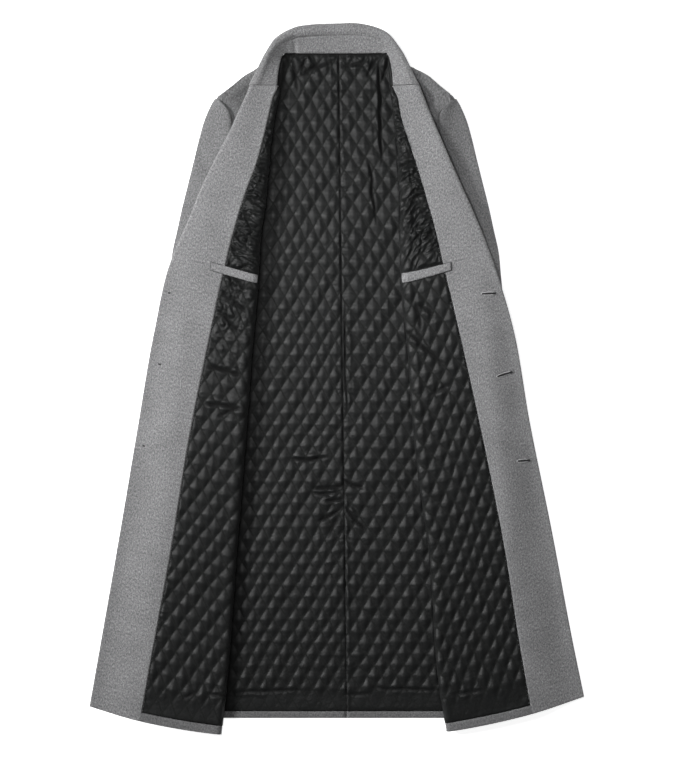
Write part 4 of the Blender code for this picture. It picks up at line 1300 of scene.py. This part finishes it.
    def lining_rise(self, x: np.ndarray, high: np.ndarray, from_seam: np.ndarray, to_fold: np.ndarray,
                    folds: np.ndarray, lattice: np.ndarray) -> np.ndarray:
        """Height of puffs, creases, gathers and slack over the flat lining.

        Args:
            x: plan coordinates across the coat.
            high: plan coordinates up the coat.
            from_seam: distances from the centre seam.
            to_fold: distances to the front's fold.
            folds: height of the creases.
            lattice: place on the stitch lines.

        Returns:
            The height at each point.
        """
        below = NAPE_Y - high
        from_hem = high - LINING_HEM_Y
        fade = ease(from_seam / 5.0) * ease((to_fold + 1.0) / 5.0) * ease(from_hem / 8.0) * ease(below / 7.0)
        press_and_shade = HEM_PRESS + (1.0 - HEM_PRESS) * ease((from_hem - 24.0) / 22.0) * ease(below / 26.0)
        rise = self.puff * quilt_puff(lattice) * fade * press_and_shade * (1.0 - CREASE_PRESS * trough(folds, 1.0))
        swirl = crumples(x + 0.6 * high, high - 0.5 * x, 13.0, 9.0, 38)
        swirl = swirl * np.exp(-np.maximum(below - 12.0, 0.0) / 20.0)
        tug = gathers(high, from_seam, 13.0, 60.0, 31) * np.exp(-from_seam / 16.0)
        neck = gathers(x, high, 15.0, 90.0, 33) * np.exp(-below / 30.0)
        soft = 0.8 * tug + 0.9 * neck + 2.2 * swirl + swells(BACK_SLACK, x, high) + 0.6
        return rise + (0.9 * folds + soft) * fade - 0.9 * ease((2.4 - from_seam) / 2.4)

    def neck_lift(self, x: np.ndarray, high: np.ndarray, to_fold: np.ndarray) -> np.ndarray:
        """Lift of the lining over the collar's fall and up to the collar at the two corners of the neck."""
        corner = 5.0 * ease((np.abs(x) - 78.0) / 14.0) * ease((high - 548.0) / 18.0)
        ridge = ease((4.0 - to_fold) / 4.0) * ease((to_fold + 6.0) / 4.0) * ease((high - 512.0) / 8.0)
        ridge = ridge * (9.5 + 3.5 * ease((568.0 - high) / 14.0))
        return neck_raise(0.9 * x, high + 7.0) + np.maximum(corner, ridge)

    def build(self) -> None:
        """Make both layers and hand them to the frame."""
        word = self.side.word
        enter_cloth(self.shell(), "back_shell_" + word, Slot.WOOL, self.finishes)
        enter_cloth(self.lining(), "back_lining_" + word, Slot.LINING, self.finishes)


@dataclass
class TurnedFront:
    """One front turned back: wool shell, quilted lining, wool facing with its lapel, and the pocket welt."""

    form: FrontForm
    welt_size: WeltSize
    finishes: Finishes
    creases: tuple[Crease, ...]
    crumple: Crumple
    shoulder_swell: float
    shoulder_shade: float
    hem_shade: float = 0.5
    diamond_wide: float = 25.8
    diamond_high: float = 42.0
    puff: float = 4.4
    chest_rows: int = 200
    skirt_rows: int = 270
    lining_columns: int = 74
    shoulder_rows: int = 9
    leg_columns: int = 24
    # Radii of the rounded edges of hem, facing and welt
    hem_round: float = 2.2
    facing_round: float = 1.6
    welt_round: float = 1.5

    def shell(self) -> ClothGrid:
        """Wool front: lower leg with the shoulder, turn at the fold, upper leg to the edge, hem turned up.

        Returns:
            The cloth.
        """
        form = self.form
        hem_lines = np.array([16.4, 15.6, 15.0, 12.0, 8.0, 4.0, 2.0, 1.0, 0.3, 0.0])
        downs = np.concatenate([np.linspace(SHOULDER_TOP_DOWN, GORGE_DOWN, self.shoulder_rows),
                                np.linspace(GORGE_DOWN + 4.0, form.hem - 18.0, 170), form.hem - hem_lines])
        radius = form.radius(downs)
        quarter = (math.pi * radius / 2)[:, None]
        lower = quarter + (form.side_reach(downs) - radius + 4.0 * ease((230.0 - downs) / 30.0))[:, None]
        end = form.across(downs, form.reach(downs) - 1.0)[:, None]
        over = np.concatenate([-lower + (lower - quarter) * np.linspace(0.0, 1.0, self.leg_columns)[:-1],
                               quarter * np.linspace(-1.0, 1.0, 15)[:-1],
                               quarter + (end - quarter) * np.linspace(0.0, 1.0, 40)], axis=1)
        down = np.broadcast_to(downs[:, None], over.shape)
        upper = over > -quarter
        turned = ease((down - form.hem + HEM_STRIP) / 0.8)
        wave = 0.35 * cloth_noise(over / 34.0, down / 34.0, 41)
        rise = np.where(upper, turned * (2.4 + wave), 0.0)
        rise = rise - np.minimum(edge_drop(form.hem - down, self.hem_round), 1.6) * (over > 0)
        away = lower + over
        swell = self.shoulder_swell * ease((away - 1.5) / 3.5) * ease(1.2 - away / 40.0)
        swell = swell * ease((170.0 - down) / 60.0) * ease((down - SHOULDER_TOP_DOWN + 4.0) / 30.0)
        outer = form.place(down, over, rise)
        inner = form.place(down, over, -WOOL - swell * (over < -quarter))
        cells = np.ones((len(downs) - 1, over.shape[1] - 1), bool)
        cells[:self.shoulder_rows - 1, self.leg_columns - 1:] = False
        # Painted shade: the turned-up hem darker, and the shoulder under the lapel darker for the lapel's shadow
        sunk = np.where(upper, self.hem_shade * turned, self.shoulder_shade * ease((330.0 - down) / 60.0))
        return ClothGrid(outer, inner, np.stack([over, down], axis=-1), None, cells, sunk)

    def seam_over(self, downs: np.ndarray) -> np.ndarray:
        """Distance over the cloth to the lining's seam, drawn in at the gorge to meet the collar."""
        drawn = 4.5 * ease((GORGE_DOWN + 26.0 - downs) / 26.0)
        return self.form.across(downs, self.form.column("seam", downs) - drawn)

    def lining(self) -> ClothGrid:
        """Quilted lining on the upper leg, round the fold and a little way under.

        Returns:
            The cloth.
        """
        form = self.form
        top = GORGE_DOWN + 2.0
        end = form.hem - HEM_STRIP
        downs = np.concatenate([np.linspace(top, 400.0, self.chest_rows), np.linspace(402.0, end, self.skirt_rows)])
        radius = form.radius(downs)
        quarter = (math.pi * radius / 2)[:, None]
        tuck = -quarter - np.minimum(LINING_TUCK, 0.5 * (form.side_reach(downs) - radius))[:, None]
        seam = self.seam_over(downs)[:, None] - 0.5
        seen = np.concatenate([np.linspace(0.0, 0.976, self.lining_columns), [0.988, 0.996, 1.0]])
        over = np.concatenate([tuck + (-quarter - tuck) * np.array([0.0, 0.4, 0.8]),
                               -quarter + (seam + quarter) * seen], axis=1)
        down = np.broadcast_to(downs[:, None], over.shape)
        base = form.base(down, over)
        lattice = quilt_lattice(over, down, (6.0, 8.0), (self.diamond_wide, self.diamond_high), 51)
        to_seam = seam - over
        turn = ease((over + 0.5 * quarter) / (1.3 * quarter))
        fade = ease(to_seam / 4.0) * ease((end - down) / 8.0) * ease((down - top) / 8.0) * turn
        fade = fade * self.welt_clear(down, over)
        crumple = self.crumple
        crumpled = ease((down - crumple.top) / 50.0) * ease((crumple.foot - down) / crumple.fade)
        crumpled = crumpled * np.exp(-np.maximum(to_seam - 26.0, 0.0) / 50.0)
        leant = down - crumple.lean * to_seam - crumple.bend * to_seam ** 2
        folds = crumples(leant, to_seam, 8.5, 13.0, 61) + 0.25 * gathers(leant, to_seam, 15.0, 21.0, 66)
        creases = crease_height(self.creases, base[..., 0], base[..., 1])
        press_and_shade = HEM_PRESS + (1.0 - HEM_PRESS) * ease((end - down - 24.0) / 24.0)
        flattened = (1.0 - 0.6 * crumpled) * (1.0 - CREASE_PRESS * trough(creases, 1.0))
        rise = self.puff * quilt_puff(lattice) * flattened * press_and_shade + crumple.height * crumpled * folds
        rise = rise + 1.5 * gathers(down, to_seam, 9.5, 60.0, 71) * np.exp(-to_seam / 8.0) + creases
        rise = rise + swells(FRONT_SLACK, over, down)
        near = ease((quarter + 9.0 - np.abs(over)) / 9.0)
        lift = LINING_GAP + (TURN_GAP - LINING_GAP) * near
        outer = form.place(down, over, lift + LINING + np.maximum(rise * fade, -1.0))
        inner = form.place(down, over, lift)
        # Painted shade in crease troughs, in crumple valleys and in the ditch of the seam to the facing
        hollow_shade = trough(creases, 0.9) + crumpled * np.clip(-2.2 * folds, 0.0, 0.95)
        sunk = np.maximum(ease((1.8 - to_seam) / 1.6), np.minimum(hollow_shade, 0.9))
        return ClothGrid(outer, inner, np.stack([over, down], axis=-1), lattice, sunk=sunk)

    def welt_ends(self, share: np.ndarray) -> tuple[np.ndarray, np.ndarray]:
        """Distances down of the welt's upper and lower edge, along its length from the fold."""
        welt = self.welt_size
        top = welt.fold_top + (welt.end_top - welt.fold_top) * share
        return top, welt.fold_foot + (welt.end_foot - welt.fold_foot) * share

    def welt_clear(self, down: np.ndarray, over: np.ndarray) -> np.ndarray:
        """How much of the quilting stays: none under the pocket welt."""
        reach = self.form.across(down, np.full_like(down, self.welt_size.reach))
        top, foot = self.welt_ends(over / reach)
        clear = np.maximum(np.maximum(top - down, down - foot), over - reach - 2.0)
        return ease((clear + 1.0) / 9.0)

    def facing_points(self, down: np.ndarray, step: np.ndarray, lift: np.ndarray) -> np.ndarray:
        """Points past the start of the turned edge: round it, then back under the front.

        Args:
            down: distances down the coat.
            step: 0 to 1 round the turn, then 1 plus a distance over the cloth under the front.
            lift: distance of the face from the shared surface.

        Returns:
            Points along the last axis.
        """
        form = self.form
        start = form.across(down, form.reach(down))
        edge = form.base(down, start)
        up = form.normal(down, start)
        wide = unit(edge - form.base(down, start - 2.0))
        deep = ROLL_RADIUS * form.rolled(down)
        turn = math.pi * np.clip(step, 0.0, 1.0)
        swing = np.cos(turn)[..., None] * up + np.sin(turn)[..., None] * wide
        bent = edge - deep[..., None] * up + (deep + lift)[..., None] * swing
        under = form.place(down, start - np.maximum(step - 1.0, 0.0), -2 * deep - lift)
        return np.where((step > 1.0)[..., None], under, bent)

    def facing_wave(self, down: np.ndarray, over: np.ndarray) -> np.ndarray:
        """Slight waviness of the facing's face, none at its seam and at its edge."""
        start = self.seam_over(down)
        end = self.form.across(down, self.form.reach(down))
        return swells(FACING_SLACK, over, down) * ease((over - start) / 18.0) * ease((end - over) / 16.0)

    def on_facing(self, down: np.ndarray, over: np.ndarray, lift: float) -> np.ndarray:
        """Points a little way over the facing's face."""
        return self.form.place(down, over, SEAM_GAP + WOOL + lift + self.facing_wave(down, over))

    def facing(self) -> ClothGrid:
        """Wool facing from the lining's seam to the edge, round it, and the lapel's face under the front.

        Returns:
            The cloth.
        """
        form = self.form
        edge_lines = np.array([0.0, 0.5, 1.6])
        downs = np.concatenate([GORGE_DOWN + edge_lines, np.linspace(GORGE_DOWN + 5.0, form.hem - 4.0, 240),
                                form.hem - edge_lines[::-1]])
        start = self.seam_over(downs)[:, None]
        end = form.across(downs, form.reach(downs))[:, None]
        over = start + (end - start) * np.concatenate([[0.0, 0.004, 0.014], np.linspace(0.03, 1.0, 26)])
        down = np.broadcast_to(downs[:, None], over.shape)
        rim = edge_drop(over - start, self.facing_round) + edge_drop(form.hem - down, self.facing_round) * 0.8
        rim = rim + edge_drop(down - GORGE_DOWN, self.facing_round) * 0.3
        high = SEAM_GAP + WOOL + self.facing_wave(down, over) - np.minimum(rim, 2.0)
        lapel = np.maximum(along_table(LAPEL_ROWS, "place", "size", downs), 1.4)
        lapel = np.where(downs > BREAK_DOWN, np.maximum(1.4, lapel * form.rolled(downs)), lapel)
        step = np.concatenate([np.broadcast_to(np.linspace(0.1, 1.0, 10), (len(downs), 10)),
                               1.0 + lapel[:, None] * np.array([0.15, 0.5, 0.9, 1.0])], axis=1)
        down_turn = np.broadcast_to(downs[:, None], step.shape)
        rim_turn = edge_drop(form.hem - down_turn, self.facing_round) * 0.8
        outer = np.concatenate([form.place(down, over, high),
                                self.facing_points(down_turn, step, SEAM_GAP + WOOL - rim_turn)], axis=1)
        inner = np.concatenate([form.place(down, over, np.full_like(high, SEAM_GAP)),
                                self.facing_points(down_turn, step, np.full(step.shape, SEAM_GAP))], axis=1)
        further = over[:, -1:] + np.where(step <= 1.0, step * 9.0, 8.0 + step)
        cut = np.concatenate([np.stack([over, down], -1), np.stack([further, down_turn], -1)], axis=1)
        return ClothGrid(outer, inner, cut)

    def welt(self) -> ClothGrid:
        """Welt of the inner pocket with rounded edges, across facing and lining from the fold.

        Returns:
            The cloth.
        """
        welt = self.welt_size
        low = 2 * SEAM_GAP + WOOL + 0.4
        share = np.concatenate([[0.0, 0.004, 0.012], np.linspace(0.03, 0.97, 60), [0.988, 0.996, 1.0]])
        wide = edge_shares(9, 14.5, self.welt_round)
        top, foot = self.welt_ends(share)
        deep = (foot - top)[:, None]
        down = (top + 1.2 * np.sin(math.pi * share))[:, None] + deep * wide
        plan = welt.start + (welt.reach - welt.start) * share[:, None] ** 1.5 + 0.0 * down
        over = self.form.across(down, plan)
        rim = edge_drop(deep * wide, self.welt_round) + edge_drop(deep * (1 - wide), self.welt_round)
        ends = np.minimum(share, 1 - share)[:, None] * (welt.reach + 0.0 * down)
        rim = np.minimum(rim + edge_drop(ends, self.welt_round), 2.0)
        pillow = 0.5 * np.sin(math.pi * wide)[None, :] + 0.25 * cloth_noise(over / 12.0, down / 12.0, 91)
        outer = self.form.place(down, over, low + WOOL + pillow - rim)
        inner = self.form.place(down, over, np.full_like(down, low))
        return ClothGrid(outer, inner, np.stack([over, down], axis=-1))

    def spot(self, mark: Mark, share: np.ndarray) -> tuple[np.ndarray, np.ndarray]:
        """Distances down and over the cloth of a worked mark on the facing, from its first end to its second."""
        down = mark.down + (mark.end_down - mark.down) * share
        inset = mark.inset + (mark.end_inset - mark.inset) * share
        return down, self.form.across(down, self.form.column("edge", down) - inset)

    def welt_outline(self) -> np.ndarray:
        """Line of the stitches that sew the welt to the facing: along its top, its outer end and its foot."""
        welt = self.welt_size
        share = np.concatenate([np.linspace(0.72, 1.0, 20), np.ones(12), np.linspace(1.0, 0.72, 20)])
        level = np.concatenate([np.zeros(20), np.linspace(0.0, 1.0, 12), np.ones(20)])
        top, foot = self.welt_ends(share)
        down = top - 0.5 + (foot - top + 1.0) * level
        plan = welt.start + (welt.reach - welt.start) * share + 0.6
        return self.form.place(down, self.form.across(down, plan), SEAM_GAP + WOOL + 0.4)

    def fell_line(self) -> np.ndarray:
        """Line of the stitches that fell the lining to the facing."""
        downs = np.linspace(GORGE_DOWN + 8.0, self.form.hem - HEM_STRIP - 4.0, 500)
        return self.form.place(downs, self.seam_over(downs) - 1.2, LINING_GAP + LINING + 0.5)

    def build(self) -> None:
        """Make every layer and hand it to the frame."""
        word = self.form.side.word
        shell = ["front_shell_" + word]
        layers = (("front_shell_", self.shell, Slot.WOOL, Held.FOLDED, ["sleeve_" + word, "back_lining_" + word]),
                  ("front_lining_", self.lining, Slot.LINING, Held.FOLDED, shell),
                  ("facing_", self.facing, Slot.WOOL, Held.FOLDED, shell),
                  ("pocket_welt_", self.welt, Slot.WOOL, Held.LAID, ["front_lining_" + word, "facing_" + word]))
        for name, grid, slot, held, rests_on in layers:
            enter_cloth(grid(), name + word, slot, self.finishes)
        StitchTree().sew("welt_stitches_" + word, [self.welt_outline()], WELT_STITCHES, self.finishes.black_silk,
                         Slot.WOOL)
        StitchTree().sew("fell_stitches_" + word, [self.fell_line()], FELL_STITCHES, self.finishes.grey_silk,
                         Slot.LINING)


@dataclass
class Sleeve:
    """A flattened sleeve of lined wool, from the shoulder cap to the cuff.

    Painted shade darkens its wool towards the lapel that lies over it, for the lapel's shadow, and on the left at the
    armhole seam: a shade at the inner edge, one at the outer edge and the share of the width that it takes to change.
    """

    side: Side
    finishes: Finishes
    creases: tuple[Crease, ...]
    inner_shade: float
    outer_shade: float
    shade_reach: float
    around: int = 52

    def ring(self, downs: np.ndarray, turn: np.ndarray, inset: float) -> np.ndarray:
        """Rings of points round the sleeve.

        Args:
            downs: distances down of the rings.
            turn: angles round a ring, the upper side first.
            inset: wall thickness for the inner face, 0 for the outer.

        Returns:
            Points, ring by ring.
        """
        thick = along_table(SLEEVE_ROWS, "down", "thick", downs)[:, None]
        wall = np.minimum(inset, 0.42 * thick)
        inner = along_table(SLEEVE_ROWS, "down", "inner", downs)[:, None] + wall
        outer = along_table(SLEEVE_ROWS, "down", "outer", downs)[:, None] - wall
        share = (1 - np.cos(turn)) / 2
        x = inner + (outer - inner) * share
        y = np.broadcast_to((NAPE_Y - downs)[:, None], x.shape)
        clear = body_half(y) + 3.0
        drop = ease((x - clear) / np.maximum(outer - clear, 12.0))
        rest = SLEEVE_REST_Z + (SLEEVE_FLOOR_Z - SLEEVE_REST_Z) * drop
        bow = np.sqrt(np.maximum(0.0, 1.0 - np.abs(2 * share - 1) ** 4))
        half = (thick / 2 - wall) * bow * np.where(turn < math.pi, 1.0, -1.0)
        soft = crease_height(self.creases, x, y) + 0.5 * cloth_noise(x / 30.0, y / 44.0, 101)
        rise = np.where(turn < math.pi, soft, 0.0) * bow
        return np.stack([self.side.value * x, y, rest + thick / 2 + half + rise], axis=-1)

    def grid(self) -> ClothGrid:
        """Outer and inner face of the tube.

        Returns:
            The cloth.
        """
        downs = np.concatenate([[81.0, 81.6, 83.0], np.linspace(85.0, 690.0, 140)])
        turn = np.linspace(0.0, 2 * math.pi, self.around + 1)
        outer = self.ring(downs, turn, 0.0)
        inner = self.ring(downs, turn, SLEEVE_WALL)
        steps = np.linalg.norm(np.diff(outer, axis=1), axis=2)
        girth = np.concatenate([np.zeros((len(downs), 1)), np.cumsum(steps, axis=1)], axis=1)
        cut = np.stack([girth, np.broadcast_to(downs[:, None], girth.shape)], axis=-1)
        share = np.broadcast_to((1 - np.cos(turn)) / 2, girth.shape)
        # Painted shade: darker at the inner edge beside the lapel, lighter towards the outer edge
        sunk = self.inner_shade + (self.outer_shade - self.inner_shade) * ease(share / self.shade_reach)
        return ClothGrid(outer, inner, cut, sunk=sunk)

    def build(self) -> None:
        """Make the sleeve and hand it to the frame."""
        word = self.side.word
        enter_cloth(self.grid(), "sleeve_" + word, Slot.WOOL, self.finishes)


@dataclass
class RolledCollar:
    """Collar turned back: stand from the neck seam, leaf over the roll and the fall behind it."""

    finishes: Finishes
    steps: int = 160
    roll_steps: int = 12
    flat_steps: int = 14

    def section(self) -> tuple[np.ndarray, int]:
        """Outer line of every collar section: neck seam, stand, roll, fall.

        Returns:
            The lines, and how many points of each belong to the stand.
        """
        along = np.linspace(0.0, len(COLLAR_ROWS) - 1.0, self.steps)
        places = list(range(len(COLLAR_ROWS)))
        values = [through(places, [row[at] for row in COLLAR_ROWS], along) for at in range(8)]
        neck = np.stack(values[0:3], axis=-1)
        roll = np.stack(values[3:6], axis=-1)
        roll[:, 2] += through(places, COLLAR_CURL, along)
        fall, end_z = values[6], values[7]
        flat = roll - neck
        flat[:, 2] = 0.0
        flat = unit(flat)
        start = roll - COLLAR_ROLL * flat
        near_seam = STAND_SHARE + np.array([-0.02, 0.0, 0.02])
        shares = np.sort(np.concatenate([np.linspace(0.0, 1.0, self.flat_steps), near_seam]))
        bow = LEAF_BOW * np.sin(math.pi * np.clip((shares - STAND_SHARE) / (1.0 - STAND_SHARE), 0.0, 1.0))
        lines = [neck + (start - neck) * share + UP * rise for share, rise in zip(shares, bow)]
        for turn in np.linspace(0.0, math.pi, self.roll_steps + 1)[1:]:
            lines.append(start + COLLAR_ROLL * (math.sin(turn) * flat + (math.cos(turn) - 1.0) * UP))
        foot = lines[-1]
        for share in np.linspace(0.08, 1.0, self.flat_steps):
            spot = foot - flat * ((fall - COLLAR_ROLL) * share)[:, None]
            spot[:, 2] = foot[:, 2] + (np.maximum(0.0, end_z) - foot[:, 2]) * ease(min(1.0, share * 1.7))
            lines.append(spot)
        return np.stack(lines, axis=1), int(np.searchsorted(shares, STAND_SHARE)) + 1

    def piece(self, points: np.ndarray, first: int, last: int) -> ClothGrid:
        """Wall of the collar between two places along its section.

        Args:
            points: the outer lines.
            first: first place along the section.
            last: last place.

        Returns:
            The cloth.
        """
        out = np.cross(np.gradient(points, axis=0), np.gradient(points, axis=1))
        out[[0, -1], :, 1] = 0.0
        spots = points[:, first:last + 1]
        normals = unit(out)[:, first:last + 1]
        x, y = spots[..., 0], spots[..., 1]
        steps = np.linalg.norm(np.diff(spots, axis=1), axis=2)
        over = np.concatenate([np.zeros((len(spots), 1)), np.cumsum(steps, axis=1)], axis=1)
        seam = over if first else over[:, -1:] - over
        swell = 0.8 * cloth_noise(x / 34.0, y / 30.0, 111) - 0.4 + crease_height(COLLAR_CREASES, x, y)
        sewn = ease((96.0 - np.abs(x)) / 24.0) * (1.0 - 0.55 * ease((x - 5.0) / 40.0))
        sink = edge_drop(seam, 2.4) * 0.75 * sewn - swell * ease(seam / 8.0)
        outer = spots - normals * np.minimum(sink, 1.8)[..., None]
        run = np.concatenate([[0.0], np.cumsum(np.linalg.norm(np.diff(spots[:, 0], axis=0), axis=1))])
        cut = np.stack([np.broadcast_to(run[:, None], over.shape), over + 60.0 * first], axis=-1)
        return ClothGrid(outer, spots - COLLAR_WALL * normals, cut)

    def build(self) -> None:
        """Make stand and leaf and hand them to the frame."""
        points, stand_count = self.section()
        stand = self.piece(points, 0, stand_count - 1)
        leaf = self.piece(points, stand_count - 1, points.shape[1] - 1)
        enter_cloth(stand, "collar_stand", Slot.WOOL, self.finishes)
        enter_cloth(leaf, "collar_leaf", Slot.WOOL, self.finishes)


@dataclass
class FrontMarks:
    """Buttonholes worked in one facing and the threads of the buttons that show in the other."""

    holes: TurnedFront
    shanks: TurnedFront
    finishes: Finishes
    hole_half: float = 2.6
    eye_swell: float = 0.5
    stitch_lift: float = 0.35
    slit_lift: float = 0.3
    thread_shift: float = 0.9

    def build(self) -> None:
        """Sew the marks and hand them to the frame."""
        turn = np.linspace(0.0, 2 * math.pi, 60)
        share = (1 - np.cos(turn)) / 2
        half = self.hole_half * np.sin(turn) * (1.0 + self.eye_swell * ease(share * 5 - 4.0))
        rings = []
        slits = []
        eyes = []
        for mark in BUTTONHOLES:
            down, over = self.holes.spot(mark, share)
            rings.append(self.holes.on_facing(down + half, over, self.stitch_lift))
            slits.append(self.holes.on_facing(*self.holes.spot(mark, np.linspace(0.08, 0.98, 24)), self.slit_lift))
            eyes.append(self.holes.on_facing(*self.holes.spot(mark, np.linspace(0.86, 0.98, 4)), self.slit_lift))
        knots = []
        for mark in SHANK_THREADS:
            down, over = self.shanks.spot(mark, np.linspace(-1.0, 2.0, 4))
            for shift in (-self.thread_shift, 0.0, self.thread_shift):
                knots.append(self.shanks.on_facing(down + shift, over, self.stitch_lift))
        black = self.finishes.black_silk
        runs = (("buttonhole_stitches", rings, HOLE_STITCHES, self.finishes.pale_silk, Slot.WOOL),
                ("buttonhole_slits", slits, SLIT_THREADS, black, Slot.WOOL),
                ("buttonhole_eyes", eyes, EYE_THREADS, black, Slot.WOOL),
                ("button_shank_threads", knots, SHANK_STITCHES, black, Slot.HORN))
        for run in runs:
            StitchTree().sew(*run)


@dataclass(frozen=True)
class Studio:
    """Paper floor, soft lights and the camera straight above."""

    middle_x: float = 5.7
    middle_y: float = -23.3
    tall: float = 1387.7
    height: float = 5000.0
    coat_height: float = 25.0
    sensor: float = 36.0
    floor_half: float = 4.0
    floor_z: float = -0.0006
    sky: float = 0.16

    def floor(self) -> None:
        """Lay the paper under the coat."""
        mesh = bpy.data.meshes.new("paper_floor")
        corners = [(x * self.floor_half, y * self.floor_half, self.floor_z)
                   for x, y in ((-1, -1), (1, -1), (1, 1), (-1, 1))]
        mesh.from_pydata(corners, [], [(0, 1, 2, 3)])
        mesh.materials.append(PaperFloor().material())
        new_object("paper_floor", mesh)

    def light(self, lamp: Lamp) -> None:
        """Hang a soft light."""
        made = bpy.data.lights.new(lamp.name, "AREA")
        made.size = lamp.size
        made.energy = lamp.power
        made.spread = math.radians(lamp.spread)
        item = new_object(lamp.name, made)
        way = np.array(lamp.aim) - np.array(lamp.spot)
        item.location = lamp.spot
        item.rotation_euler = (math.atan2(math.hypot(way[0], way[1]), -way[2]), 0.0, math.atan2(-way[0], way[1]))
        item.visible_camera = False

    def build(self) -> None:
        """Make floor, world, lights and camera."""
        self.floor()
        scene = bpy.context.scene
        scene.view_settings.view_transform = "Standard"
        scene.world = bpy.data.worlds.new("studio")
        scene.world.use_nodes = True
        tree = scene.world.node_tree
        fill(tree, tree.nodes["Background"], {"Color": (1.0, 1.0, 1.0, 1.0), "Strength": self.sky})
        for lamp in LAMPS:
            self.light(lamp)
        camera = bpy.data.cameras.new("camera")
        camera.sensor_width = self.sensor
        camera.lens = self.sensor * (self.height - self.coat_height) / self.tall
        scene.camera = new_object("camera", camera)
        scene.camera.location = (self.middle_x * MM, self.middle_y * MM, self.height * MM)


def dress_buttons(finishes: Finishes) -> None:
    """Give the buttons, which keep their solids, their horn."""
    for node in ("button_1", "button_2", "button_3"):
        item = bpy.data.objects[node]
        item.data.materials.clear()
        item.data.materials.append(finishes.horn)
        LOG.info("%s: horn", node)


def main() -> None:
    """Build the studio and the coat, piece by piece."""
    logging.basicConfig(level=logging.INFO, format="%(name)s: %(message)s")
    Studio().build()
    finishes = Finishes.made()
    left = FrontForm(Side.LEFT, LEFT_ROWS, LEFT_TILT, lapel_rise=5.5)
    right = FrontForm(Side.RIGHT, RIGHT_ROWS, RIGHT_TILT, lapel_rise=7.0)
    left_front = TurnedFront(left, LEFT_WELT, finishes, LEFT_CREASES,
                             Crumple(top=100.0, foot=640.0, fade=230.0, height=4.6, lean=0.25, bend=0.0),
                             shoulder_swell=9.0, shoulder_shade=0.65)
    right_front = TurnedFront(right, RIGHT_WELT, finishes, RIGHT_CREASES,
                              Crumple(top=60.0, foot=430.0, fade=90.0, height=4.4, lean=0.0, bend=0.012),
                              shoulder_swell=12.0, shoulder_shade=0.5)
    QuiltedBack(Side.LEFT, left, finishes, diamond_wide=24.2, grain_lean=-0.03).build()
    QuiltedBack(Side.RIGHT, right, finishes, diamond_wide=27.0, grain_lean=0.045).build()
    left_front.build()
    right_front.build()
    Sleeve(Side.LEFT, finishes, LEFT_SLEEVE_CREASES, inner_shade=1.0, outer_shade=0.3, shade_reach=0.16).build()
    Sleeve(Side.RIGHT, finishes, RIGHT_SLEEVE_CREASES, inner_shade=0.85, outer_shade=0.15, shade_reach=0.9).build()
    RolledCollar(finishes).build()
    FrontMarks(right_front, left_front, finishes).build()
    dress_buttons(finishes)


if __name__ == "__main__":
    main()
